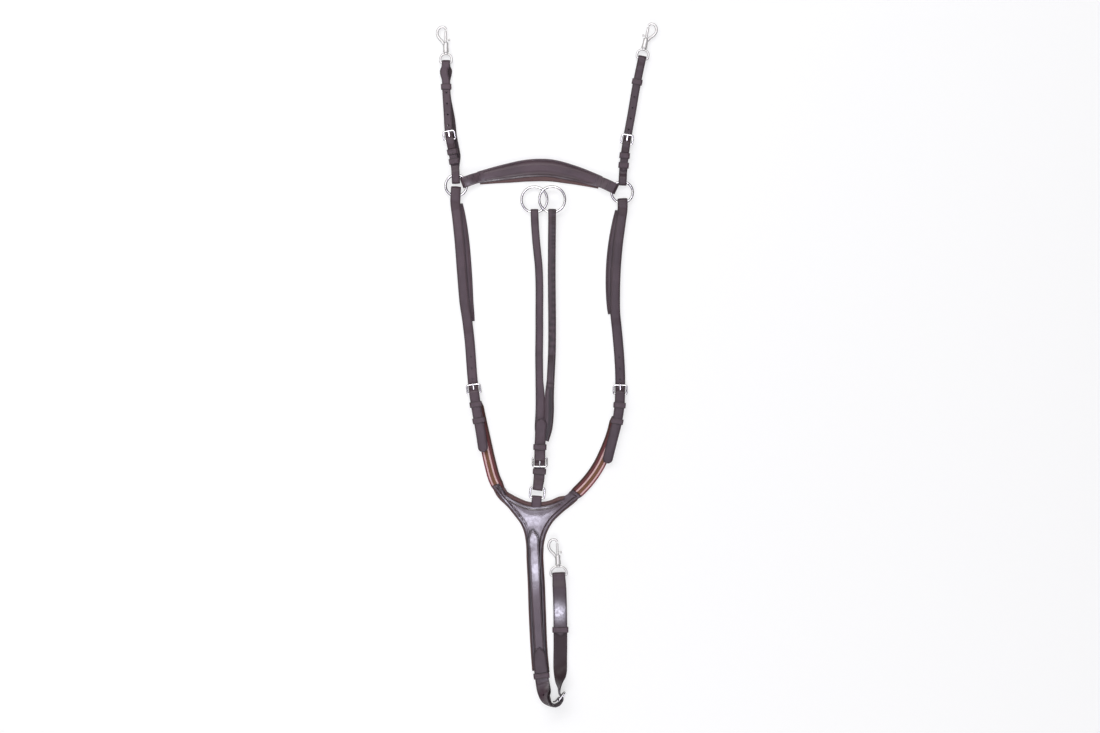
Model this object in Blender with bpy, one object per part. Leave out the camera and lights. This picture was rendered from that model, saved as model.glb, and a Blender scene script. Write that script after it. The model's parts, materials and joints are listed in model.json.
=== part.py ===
# Three-point breastplate: the leather, elastic and metal pieces of a horse's breastplate,
# laid out flat on a table with the girth strap folded back beside the chest piece.
#
# +X is to the right and +Y runs from the chest to the withers. The table is z = 0.
# The origin is under the middle of the chest piece. Sizes below are in millimetres.

import math

import bmesh
import bpy
import numpy as np
from mathutils import Matrix, Vector

MM = 0.001

# Clearances
gap = 0.3                 # between pieces that lie on one another
hole_gap = 0.35           # round a prong in its hole

# Leather straps: width and thickness
top_width = 13.0
top_thick = 2.6
shoulder_width = 16.0
shoulder_thick = 3.0
fork_width = 12.5
fork_thick = 2.4
tail_width = 17.5
girth_width = 22.0
girth_thick = 3.0
chape_thick = 1.6         # leather pared thin where it folds round a bar
keeper_thick = 1.3
keeper_length = 9.0
keeper_room = 0.6        # play of a strap inside its keeper

# Metal
wire = 2.0                # radius of the wither rings' wire
wither_ring_radius = 17.0
fork_ring_radius = 20.6
fork_ring_wire = 1.9
bar = 1.5                 # radius of a buckle's bars
buckle_reach = 14.0       # from a buckle's pivot bar to its far bar
prong_width = 2.8
prong_thick = 1.4

# Padding and elastic
pad_thick = 4.0
face_thick = 2.6
elastic_width = 20.0
elastic_thick = 1.8

# How high the straps lie, so that the keepers round them rest on the table
lift = keeper_thick + gap


def clear_scene():
    for old in list(bpy.data.objects):
        bpy.data.objects.remove(old, do_unlink=True)


def finish(name, colour, roughness, metallic):
    material = bpy.data.materials.get(name) or bpy.data.materials.new(name)
    material.use_nodes = True
    shader = material.node_tree.nodes["Principled BSDF"]
    shader.inputs["Base Color"].default_value = (*colour, 1.0)
    shader.inputs["Roughness"].default_value = roughness
    shader.inputs["Metallic"].default_value = metallic
    material.diffuse_color = (*colour, 1.0)
    return material


def leather(name):
    return finish(name + "_leather", (0.075, 0.045, 0.05), 0.42, 0.0)


def lining(name):
    return finish(name + "_lining", (0.16, 0.07, 0.075), 0.6, 0.0)


def webbing(name):
    return finish(name + "_webbing", (0.22, 0.09, 0.05), 0.85, 0.0)


def nickel(name):
    return finish(name + "_nickel", (0.78, 0.76, 0.77), 0.18, 1.0)


def add(name, vertices, faces, material):
    """One closed body as a named object; vertices are in mm in the part's frame."""
    mesh = bpy.data.meshes.new(name)
    mesh.from_pydata([tuple(v) for v in np.asarray(vertices) * MM], [], faces)
    body = bmesh.new()
    body.from_mesh(mesh)
    bmesh.ops.recalc_face_normals(body, faces=body.faces)
    body.to_mesh(mesh)
    body.free()
    mesh.shade_smooth()
    mesh.set_sharp_from_angle(angle=math.radians(35))
    item = bpy.data.objects.new(name, mesh)
    item.data.materials.append(material)
    bpy.context.collection.objects.link(item)
    return item


def set_origin(item, point):
    """Moves an object's origin to a point in mm, with its shape left where it is."""
    place = Vector([float(c) * MM for c in point])
    item.data.transform(Matrix.Translation(-place))
    item.location = place


def boolean(target, tool, operation):
    """Cuts or joins tool, which stays in the file as a guide when it is a cutter."""
    change = target.modifiers.new(operation.lower(), "BOOLEAN")
    change.operation = operation
    change.solver = "EXACT"
    change.use_self = operation == "UNION"
    change.object = tool


def cutter(item):
    item.hide_render = True
    item.display_type = "WIRE"
    return item


def join_bodies(target, others):
    """Unites bodies that overlap into target and removes the loose ones."""
    for other in others:
        boolean(target, other, "UNION")
    bpy.context.view_layer.update()
    graph = bpy.context.evaluated_depsgraph_get()
    joined = bpy.data.meshes.new_from_object(target.evaluated_get(graph))
    target.modifiers.clear()
    target.data = joined
    target.data.shade_smooth()
    target.data.set_sharp_from_angle(angle=math.radians(35))
    for other in others:
        bpy.data.objects.remove(other, do_unlink=True)
    return target


def unit(v):
    v = np.asarray(v, float)
    return v / np.maximum(np.linalg.norm(v, axis=-1, keepdims=True), 1e-9)


def curve_through(points, step, closed=False):
    """A smooth curve through points, sampled about every step."""
    p = np.array(points, float)
    if closed:
        p = np.concatenate([p[-3:], p, p[:4]])
    along = np.concatenate([[0], np.cumsum(np.linalg.norm(np.diff(p[:, :2], axis=0), axis=1) + 1e-6)])
    slope = np.gradient(p, along, axis=0)
    first, last = (3, len(p) - 4) if closed else (0, len(p) - 1)
    rows = []
    for k in range(first, last):
        length = along[k + 1] - along[k]
        count = max(1, int(round(length / step)))
        t = (np.arange(count) / count)[:, None]
        rows.append((2 * t**3 - 3 * t**2 + 1) * p[k] + (t**3 - 2 * t**2 + t) * length * slope[k]
                    + (3 * t**2 - 2 * t**3) * p[k + 1] + (t**3 - t**2) * length * slope[k + 1])
    if not closed:
        rows.append(p[last:last + 1])
    return np.concatenate(rows)


class Route:
    """The middle of a strap's underside: points are x, y, height and roll in degrees.

    s is the length along it from its first point, n the height off its underside, and
    side the distance to the right of someone who walks along it. Roll turns the strap
    to the right about its length.
    """

    def __init__(self, points):
        dense = curve_through([(*p, 0)[:4] for p in points], 1.0)
        self.place = dense[:, :3]
        self.along = np.concatenate(
            [[0], np.cumsum(np.linalg.norm(np.diff(self.place, axis=0), axis=1))])
        self.length = float(self.along[-1])
        self.tangent = unit(np.gradient(self.place, self.along, axis=0))
        right = unit(np.cross(self.tangent, (0, 0, 1)))
        up = np.cross(right, self.tangent)
        roll = np.radians(dense[:, 3])[:, None]
        self.normal = up * np.cos(roll) + right * np.sin(roll)

    def frame(self, s):
        """Place, tangent, normal and side direction at s, straight past both ends."""
        inside = min(max(s, 0.0), self.length)
        pick = [np.array([np.interp(inside, self.along, line[:, k]) for k in range(3)])
                for line in (self.place, self.tangent, self.normal)]
        place, tangent, normal = pick[0], unit(pick[1]), pick[2]
        normal = unit(normal - tangent * normal.dot(tangent))
        place = place + tangent * (s - inside)
        return place, tangent, normal, np.cross(tangent, normal)

    def near(self, x, y):
        """The length along the route at its point nearest to x, y."""
        away = np.linalg.norm(self.place[:, :2] - (x, y), axis=1)
        return float(self.along[int(away.argmin())])

    def point(self, s, n=0.0, side=0.0):
        place, _, normal, across = self.frame(s)
        return place + normal * n + across * side

    def matrix(self, s, n=0.0, side=0.0):
        """Local x along the strap, y to its left and z off its face, in mm."""
        _, tangent, normal, across = self.frame(s)
        turn = Matrix((tangent, -across, normal)).transposed().to_4x4()
        return Matrix.Translation(Vector(self.point(s, n, side))) @ turn


def placed(points, matrix):
    m = np.array(matrix)
    return np.asarray(points, float) @ m[:3, :3].T + m[:3, 3]


def ease(start, end, step=22.0):
    """Stations between two, with an eased change of height; a station is a tuple
    (s, n, width, thickness, side)."""
    a, b = (np.array((*v, 0)[:5], float) for v in (start, end))
    count = max(1, int(math.ceil(abs(b[0] - a[0]) / step)))
    found = []
    for k in range(count + 1):
        t = k / count
        smooth = t * t * (3 - 2 * t)
        station = a + (b - a) * smooth
        station[0] = a[0] + (b[0] - a[0]) * t
        found.append(tuple(station))
    return found


def fold(s, n, radius, first, last, width, thick, count=5):
    """Stations round a bar at s, n: angles in degrees, 0 along the route and 90 up."""
    angles = np.radians(np.linspace(first, last, count + 1))
    radius /= math.cos((angles[1] - angles[0]) / 3)
    return [(s + radius * math.cos(a), n + radius * math.sin(a), width, thick, 0.0) for a in angles]


def rounded_tip(station, heading):
    """Stations that round off a strap's end, which reaches to the given station."""
    s, n, width, thick, side = (*station, 0)[:5]
    radius = width / 2
    return [(s - heading * radius * (1 - math.sin(a)), n, width * math.cos(a) + 0.02, thick, side)
            for a in np.radians([0, 30, 52, 70, 82])]


def thinned(stations):
    """Leaves out stations that repeat the one before them."""
    kept = [stations[0]]
    for station in stations[1:]:
        if math.dist(station[:2], kept[-1][:2]) > 0.35:
            kept.append(station)
    return kept


def belt(name, route, stations, material, edge=0.55, outer=-1):
    """A strap swept through stations on a route. Its grain side has chamfered edges; it
    faces down where the strap runs along the route, unless outer is -1."""
    stations = [(*v, 0)[:5] for v in thinned(stations)]
    centres = np.array([route.point(s, n, side) for s, n, _, _, side in stations])
    frames = np.array([route.frame(s)[1:] for s, *_ in stations])
    slope = unit(np.gradient([(s, n) for s, n, *_ in stations], axis=0))
    across = frames[:, 2]
    off = (frames[:, 0] * slope[:, 1:] - frames[:, 1] * slope[:, :1]) * outer
    rings = []
    for k, (_, _, width, thick, _) in enumerate(stations):
        u, v = width / 2, thick / 2
        c = min(edge, width / 2.2)
        outline = [(u - c, v), (u, v - edge), (u, -v), (-u, -v), (-u, v - edge), (c - u, v)]
        rings += [centres[k] + across[k] * y + off[k] * z for y, z in outline]
    return tube_of(name, np.array(rings).reshape(len(stations), 6, 3), False, material, turned=2)


def tube_of(name, rings, closed, material, turned=None):
    """A skin over rows of points: rings[k] is one outline; a closed one joins its ends.

    Where turned names a side, every side is split into triangles, that one the other
    way, so that two straps that twist together stay a gap apart.
    """
    count, sides = rings.shape[:2]
    faces = []
    for k in range(count if closed else count - 1):
        a, b = k * sides, (k + 1) % count * sides
        for j in range(sides):
            near, far = (a + j, a + (j + 1) % sides), (b + (j + 1) % sides, b + j)
            if turned is None:
                faces.append(near + far)
            elif j == turned:
                faces += [(near[0], near[1], far[1]), (near[1], far[0], far[1])]
            else:
                faces += [(near[0], near[1], far[0]), (near[0], far[0], far[1])]
    if not closed:
        faces.append(tuple(range(sides)))
        faces.append(tuple(range((count - 1) * sides, count * sides)))
    return add(name, rings.reshape(-1, 3), faces, material)


def wire_rings(path, radius, sides, closed, plane=(0, 0, 1)):
    """Circles of the given radius, or one radius for each point, along a flat path."""
    path = np.asarray(path, float)
    if closed:
        tangent = unit(np.roll(path, -1, axis=0) - np.roll(path, 1, axis=0))
    else:
        tangent = unit(np.gradient(path, axis=0))
    plane = np.broadcast_to(np.asarray(plane, float), path.shape)
    out = unit(np.cross(tangent, plane))
    radius = np.broadcast_to(np.asarray(radius, float), (len(path),))[:, None, None]
    turn = np.radians(np.arange(sides) * 360 / sides + 180 / sides)[None, :, None]
    return path[:, None] + radius * (np.cos(turn) * out[:, None] + np.sin(turn) * plane[:, None])


def round_corners(corners, radii, steps=3):
    """A closed flat outline with an arc at each corner of the polygon."""
    corners = [np.array(c, float) for c in corners]
    found = []
    for k, corner in enumerate(corners):
        to_last, to_next = unit(corners[k - 1] - corner), unit(corners[(k + 1) % len(corners)] - corner)
        half = math.acos(max(-1, min(1, float(to_last.dot(to_next))))) / 2
        swing = math.pi - 2 * half
        reach = radii[k] / math.tan(half)
        centre = corner + unit(to_last + to_next) * radii[k] / math.sin(half)
        a, b = corner + to_last * reach - centre, corner + to_next * reach - centre
        for j in range(steps + 1):
            t = j / steps
            mixed = unit(a) * math.sin((1 - t) * swing) + unit(b) * math.sin(t * swing)
            found.append(centre + radii[k] * mixed / math.sin(swing))
    return np.array(found)


def torus(name, centre, ring_radius, wire_radius, material, around=28, sides=6):
    turn = np.radians(np.arange(around) * 360 / around)
    path = np.stack([np.cos(turn), np.sin(turn), 0 * turn], 1) * ring_radius + np.asarray(centre)
    item = tube_of(name, wire_rings(path, wire_radius, sides, True), True, material)
    set_origin(item, centre)
    return item


def lathe(name, profile, matrix, material, around=12):
    """Turns a closed profile of (radius, height) about local y; a radius of 0 is a pole."""
    turn = np.radians(np.arange(around) * 360 / around)
    vertices, rows = [], []
    for radius, height in profile:
        if radius < 1e-6:
            rows.append([len(vertices)] * around)
            vertices.append((0, height, 0))
        else:
            rows.append(list(range(len(vertices), len(vertices) + around)))
            vertices += [(radius * math.cos(a), height, radius * math.sin(a)) for a in turn]
    faces = []
    open_ends = profile[0][0] < 1e-6
    for k in range(len(rows) - 1 if open_ends else len(rows)):
        low, high = rows[k], rows[(k + 1) % len(rows)]
        for j in range(around):
            corners = [low[j], low[(j + 1) % around], high[(j + 1) % around], high[j]]
            faces.append(tuple(dict.fromkeys(corners)))
    return add(name, placed(vertices, matrix), faces, material)


def plate(name, outline, low, high, material, edge=0.6, crown=0.0):
    """A flat outline given height, with its upper edge rounded over."""
    outline = np.asarray(outline, float)
    area = 0.5 * float(np.sum(outline[:, 0] * np.roll(outline[:, 1], -1)
                              - outline[:, 1] * np.roll(outline[:, 0], -1)))
    if area < 0:
        outline = outline[::-1]
    ahead = unit(np.roll(outline, -1, axis=0) - np.roll(outline, 1, axis=0))
    inward = np.stack([-ahead[:, 1], ahead[:, 0]], 1)
    rows = [(0.35 * edge, low), (0.0, low + 0.4 * edge), (0.0, high - edge - crown),
            (0.35 * edge, high - 0.3 * edge - crown), (edge, high - crown)]
    if crown > 0:
        rows.append((edge + 3 * crown, high))
    rings = np.array([np.column_stack([outline + inward * inset, np.full(len(outline), z)])
                      for inset, z in rows])
    return tube_of(name, rings, False, material)


# Buckles: the heights of what meets at one, off the top of the layer under it

def buckle_heights(base, strap_thick, chape=None):
    chape = chape or chape_thick
    pivot = base + gap + chape + gap + bar
    return {
        "tail": base + gap + chape / 2,
        "pivot": pivot,
        "fold": bar + gap + chape / 2,
        "chape": pivot + bar + gap + chape / 2,
        "over": pivot + bar + gap + chape + gap + strap_thick / 2,
        "under": base + gap + strap_thick / 2,
        "far": base + gap + strap_thick + gap + bar,
    }


def buckle(name, route, s, heights, width, heading, side=0.0):
    """A wire frame whose pivot bar lies across the route at s and whose far bar lies
    buckle_reach further along, or back where heading is -1."""
    inner = width / 2 + 1.0
    half = inner + bar
    flat = round_corners([(0, -half, 0), (buckle_reach, -half, 0), (buckle_reach, half, 0), (0, half, 0)],
                         [1.6, 3.2, 3.2, 1.6])
    share = flat[:, 0] / buckle_reach
    path = flat.copy()
    path[:, 0] *= heading
    path[:, 2] = (heights["far"] - heights["pivot"]) * share
    radius = bar * (0.94 + 0.06 * share)
    rings = wire_rings(path, radius, 7, True)
    matrix = route.matrix(s, heights["pivot"], side)
    item = tube_of(name, placed(rings.reshape(-1, 3), matrix).reshape(rings.shape), True, nickel(name))
    set_origin(item, matrix.translation)
    return item


def prong_line(heights):
    """The height of the prong's middle over the pivot bar and over the far bar."""
    start = heights["pivot"] + bar + gap + prong_thick / 2
    end = heights["far"] + bar + gap + prong_thick / 2
    return start, end


def prong(name, route, s, heights, heading, side=0.0):
    """A tongue of flat wire curled round the pivot bar, with its tip on the far bar."""
    start, end = prong_line(heights)
    pivot = heights["pivot"]
    radius = bar + gap + prong_thick / 2
    curl = [(s + heading * radius * math.cos(a), pivot + radius * math.sin(a), prong_width, prong_thick, side)
            for a in np.radians(np.linspace(-35, -270, 9))]
    reach = buckle_reach + 1.6
    rise = (end - start) / buckle_reach
    shaft = [(s + heading * t, start + rise * t, w, prong_thick, side)
             for t, w in ((4.5, prong_width), (10.5, prong_width - 0.3), (reach - 1.0, prong_width - 0.7),
                          (reach, prong_width - 1.3))]
    item = belt(name, Straight(route, s), curl + shaft, nickel(name), edge=0.4)
    set_origin(item, route.point(s, pivot, side))
    return item


class Straight:
    """A straight route that touches another one at s, for rigid pieces."""

    def __init__(self, route, s):
        self.s = s
        self.held = route.frame(s)

    def frame(self, s):
        place, tangent, normal, across = self.held
        return place + tangent * (s - self.s), tangent, normal, across

    def point(self, s, n=0.0, side=0.0):
        place, _, normal, across = self.frame(s)
        return place + normal * n + across * side


def block(name, route, s, n, side, size):
    """A box across the route, for a cut: size is along, across and up."""
    corners = [(x * size[0] / 2, y * size[1] / 2, z * size[2] / 2)
               for x, y, z in ((-1, -1, -1), (1, -1, -1), (1, 1, -1), (-1, 1, -1),
                               (-1, -1, 1), (1, -1, 1), (1, 1, 1), (-1, 1, 1))]
    faces = [(0, 1, 2, 3), (4, 5, 6, 7), (0, 1, 5, 4), (1, 2, 6, 5), (2, 3, 7, 6), (3, 0, 4, 7)]
    return cutter(add(name, placed(corners, route.matrix(s, n, side)), faces, leather("guide")))


def prong_slots(target, name, route, s, heights, heading, lowest, chape_too, billet_too, side=0.0):
    """Cuts the slot that the prong's curl needs in a chape, and its hole in a billet."""
    start, end = prong_line(heights)
    straight = Straight(route, s)
    straight.matrix = route.matrix
    wide = prong_width + 2 * hole_gap
    if chape_too:
        high = start + prong_thick / 2 + gap
        curl = bar + gap + prong_thick + gap
        tool = block(name + "_chape_cut", route, s + heading * 0.4, (lowest + high) / 2, side,
                     (2 * curl + 3.0, wide, high - lowest))
        boolean(target, tool, "DIFFERENCE")
    if billet_too:
        rise = (end - start) / buckle_reach
        low, high = prong_thick / 2 + gap, prong_thick / 2 + gap + 1.3
        rings = []
        for t in (-0.5, buckle_reach - 3.0):
            at = start + rise * t
            lift_here = max(t, 0) / buckle_reach
            rings.append([straight.point(s + heading * t, at + z, side + y)
                          for y, z in ((-wide / 2, -low), (wide / 2, -low),
                                       (wide / 2, low + (high - low) * lift_here),
                                       (-wide / 2, low + (high - low) * lift_here))])
        tool = tube_of(name + "_billet_cut", np.array(rings), False, leather("guide"))
        boolean(target, cutter(tool), "DIFFERENCE")


def holes(target, name, route, stations, across=3.2, low=-1.0, high=16.0):
    """Punched holes through a strap: stations are (s, n, side) of their middles."""
    for k, (s, n, side) in enumerate(stations):
        profile = [(0, low), (across / 2, low), (across / 2, high), (0, high)]
        turn = route.matrix(s, n, side) @ Matrix.Rotation(math.radians(90), 4, "X")
        tool = cutter(lathe(f"{name}_hole_{k + 1}", profile, turn, leather("guide"), around=10))
        boolean(target, tool, "DIFFERENCE")


def keeper(name, route, s, low, high, width, side=0.0, length=None):
    """A leather loop round everything between the heights low and high."""
    length = length or keeper_length
    half = width / 2 + keeper_room + keeper_thick / 2
    bottom, top = low - gap - keeper_thick / 2, high + keeper_room + keeper_thick / 2
    corners = [(0, -half, bottom), (0, half, bottom), (0, half, top), (0, -half, top)]
    loop = round_corners(corners, [0.9, 1.5, 1.5, 0.9], steps=2)
    ahead = unit(np.roll(loop, -1, axis=0) - np.roll(loop, 1, axis=0))
    out = np.cross(ahead, (1, 0, 0))
    section = [(-length / 2, -0.5), (-length / 2, 0.25), (-length / 2 + 0.5, 0.5),
               (length / 2 - 0.5, 0.5), (length / 2, 0.25), (length / 2, -0.5)]
    rings = np.array([[p + np.array((x, 0, 0)) + o * z * keeper_thick for x, z in section]
                      for p, o in zip(loop, out)])
    matrix = route.matrix(s, 0.0, side)
    item = tube_of(name, placed(rings.reshape(-1, 3), matrix).reshape(rings.shape), True, leather(name))
    set_origin(item, route.point(s, (bottom + top) / 2, side))
    return item


# Trigger snaps, in their own frame: y runs up the barrel from the swivel to the hook,
# x is away from the hook and z is towards the viewer.

snap_barrel = 4.2
snap_barrel_length = 15.5
snap_bore = 2.15
snap_bolt = 1.8
snap_travel = 7.5
snap_neck = 1.9
hook_wire = 2.1
hook_route = [(-2.9, 12.5), (-5.6, 17.0), (-10.6, 22.5), (-13.6, 29.0), (-12.2, 36.0), (-7.2, 40.2),
              (-2.0, 39.6), (0.4, 36.3)]
hook_tip = 35.2
eye_wire = 1.7
eye_height = 17.0


def snap(name, matrix, strap_width, hand):
    """Body, sliding bolt and swivel eye; the strap's bar lies across the snap's origin.

    hand is 1 where the hook bulges to -x and -1 where it is mirrored.
    """
    turn = matrix @ Matrix.Diagonal((hand, 1, 1, 1))
    half = strap_width / 2 + 0.9 + eye_wire
    shoulder = eye_height - 2.5
    outline = round_corners([(-half, 0, 0), (half, 0, 0), (half * 0.98, shoulder, 0), (-half * 0.98, shoulder, 0)],
                            [3.0, 3.0, half * 0.9, half * 0.9], steps=4)
    loop = tube_of(name + "_swivel", placed(wire_rings(outline, eye_wire, 6, True).reshape(-1, 3), turn)
                   .reshape(len(outline), 6, 3), True, nickel(name + "_swivel"))
    foot = shoulder + 2.3
    post = lathe(name + "_post", [(0, shoulder - 0.75), (3.3, shoulder - 0.75), (3.3, foot - 0.6), (snap_neck, foot),
                                  (snap_neck, foot + 3.0), (2.7, foot + 3.0), (2.7, foot + 4.2), (0, foot + 4.2)],
                 turn, nickel(name + "_swivel"))
    swivel = join_bodies(loop, [post])
    set_origin(swivel, matrix.translation)

    base = foot + 0.4
    frame = turn @ Matrix.Translation((0, base, 0))
    neck = snap_neck + gap
    head = 2.7 + gap
    profile = [(0, 4.2), (head, 4.2), (head, 2.3), (neck, 2.3), (neck, 0), (snap_barrel + 0.5, 0),
               (snap_barrel + 0.5, 1.6), (snap_barrel, 2.1), (snap_barrel, snap_barrel_length - 1.2),
               (snap_barrel - 0.6, snap_barrel_length), (0, snap_barrel_length)]
    body = lathe(name + "_body", profile, frame, nickel(name + "_body"), around=14)
    curve = curve_through([(*p, 0) for p in hook_route], 3.6)[:, :3]
    share = np.linspace(0, 1, len(curve))
    hook_rings = wire_rings(curve, hook_wire * (1.12 - 0.22 * share), 7, False)
    hook = tube_of(name + "_hook", placed(hook_rings.reshape(-1, 3), frame).reshape(hook_rings.shape), False,
                   nickel(name + "_body"))
    join_bodies(body, [hook])
    slot = cutter(add(name + "_slot", placed(box_points((1.0, -1.7, snap_barrel_length - 9.0),
                                                        (snap_barrel + 2, 1.7, snap_barrel_length + 2)), frame),
                      box_faces, leather("guide")))
    boolean(body, slot, "DIFFERENCE")
    bore = cutter(lathe(name + "_bore", [(0, 3.6), (snap_bore, 3.6), (snap_bore, snap_barrel_length + 8),
                                         (0, snap_barrel_length + 8)], frame, leather("guide"), around=12))
    boolean(body, bore, "DIFFERENCE")
    set_origin(body, matrix.translation)

    low = 4.9 + snap_travel
    rod = lathe(name + "_bolt", [(0, low), (snap_bolt, low), (snap_bolt, hook_tip - 2.2),
                                 (snap_bolt - 0.7, hook_tip - gap - 0.6), (0, hook_tip - gap - 0.6)],
                frame, nickel(name + "_bolt"))
    nub_at = snap_barrel_length + 4.0
    nub_turn = frame @ Matrix.Translation((0, nub_at, 0)) @ Matrix.Rotation(math.radians(-90), 4, "Z")
    nub = lathe(name + "_nub", [(0, 0.4), (1.15, 0.4), (1.15, 4.4), (1.9, 5.0), (1.9, 6.2), (1.3, 6.9), (0, 6.9)],
                nub_turn, nickel(name + "_bolt"), around=10)
    bolt = join_bodies(rod, [nub])
    set_origin(bolt, (frame @ Matrix.Translation((0, low, 0))).translation)
    note(name, turn, frame)
    return body


box_faces = [(0, 1, 2, 3), (4, 5, 6, 7), (0, 1, 5, 4), (1, 2, 6, 5), (2, 3, 7, 6), (3, 0, 4, 7)]


def box_points(low, high):
    """Corners of a box; low and high are (x, z, y) ends in a snap's frame."""
    x0, z0, y0 = low
    x1, z1, y1 = high
    return [(x0, y0, z0), (x1, y0, z0), (x1, y1, z0), (x0, y1, z0),
            (x0, y0, z1), (x1, y0, z1), (x1, y1, z1), (x0, y1, z1)]


def note(name, turn, frame):
    """Prints a snap's pivot, its barrel's direction and its eye's axis, for the joints."""
    pivot = [round(c, 3) for c in turn.translation]
    along = [round(c, 5) for c in unit(frame.to_3x3() @ Vector((0, 1, 0)))]
    across = [round(c, 5) for c in unit(frame.to_3x3() @ Vector((1, 0, 0)))]
    print("snap", name, "pivot", pivot, "along", along, "across", across)


# Routes. Each point is x, y, the height of the strap's underside and its roll.

ring_height = lift + shoulder_thick + gap + wire
wither_rings = {"left": (-126.0, 530.0), "right": (139.2, 519.2)}
fork_rings = {"left": (-1.0, 507.5, lift + fork_thick + gap + fork_ring_wire),
              "right": (27.4, 507.5, lift + fork_thick + gap + fork_ring_wire + 4.6)}
dee_height = 5.2
dee_bar = (3.0, 31.0)
dee_reach = 16.5
dee_wire = 1.6
dee_lean = 5.0

top_points = {
    "left": [(-127.8, 560), (-131.8, 583), (-136.8, 609), (-139.8, 650), (-142.0, 690), (-142.3, 726)],
    "right": [(141.2, 556), (143.3, 578), (147.0, 603), (154.5, 645), (162.0, 689), (171.0, 733)],
}
shoulder_points = {
    "left": [(-127.2, 502), (-124.8, 482), (-121.2, 448), (-116.3, 386), (-112.5, 342), (-108.0, 312),
             (-105.2, 288), (-98.2, 206), (-93.4, 173), (-87.7, 142), (-82.0, 104)],
    "right": [(140.0, 494), (137.0, 470), (133.0, 440), (129.6, 402), (128.0, 356), (128.4, 325),
              (131.0, 300), (136.2, 205), (134.8, 176), (131.0, 152), (124.5, 126), (114.5, 86)],
}
elastic_points = {
    "left": [(-94.0, 191), (-87.3, 158), (-80.0, 124), (-71.2, 84), (-65.0, 62), (-54.0, 40)],
    "right": [(131.4, 167), (123.0, 132), (111.6, 102.4), (101.4, 81.4), (87.8, 61.3), (72.2, 44), (57.6, 30.8)],
}
wither_points = [(-109.8, 536.4), (-98.0, 540.6), (-73.6, 546.3), (-42.7, 552.2), (-10.0, 557.1), (23.0, 557.4),
                 (58.2, 550.2), (87.4, 541.5), (114.9, 531.4), (123.4, 527.2)]
fork_points = {
    "left": [(-0.6, 480), (2.0, 440), (5.6, 405), (7.0, 310), (7.0, 219), (8.2, 195), (8.2, 168), (6.8, 141),
             (8.6, 121)],
    "right": [(27.4, 480), (27.0, 440), (26.8, 405), (25.0, 219), (23.1, 195), (22.8, 168), (20.5, 141),
              (15.4, 121)],
}


def level(points, height):
    return [(x, y, height, 0) for x, y in points]


def from_ring(centre, points, height=0.0):
    """A route that starts at a ring's centre and leaves it straight."""
    return Route([(centre[0], centre[1], height, 0), *level(points, height)])


def ring_fold(ring_radius, strap_width, slack=0.0):
    """How far from a ring's centre a strap folds, so that its edges clear the wire."""
    return math.sqrt(ring_radius**2 - (strap_width / 2) ** 2) - slack


def make_wither_ring(hand):
    centre = (*wither_rings[hand], ring_height)
    torus(f"wither_ring_{hand}", centre, wither_ring_radius, wire, nickel("wither_ring"))


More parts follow.
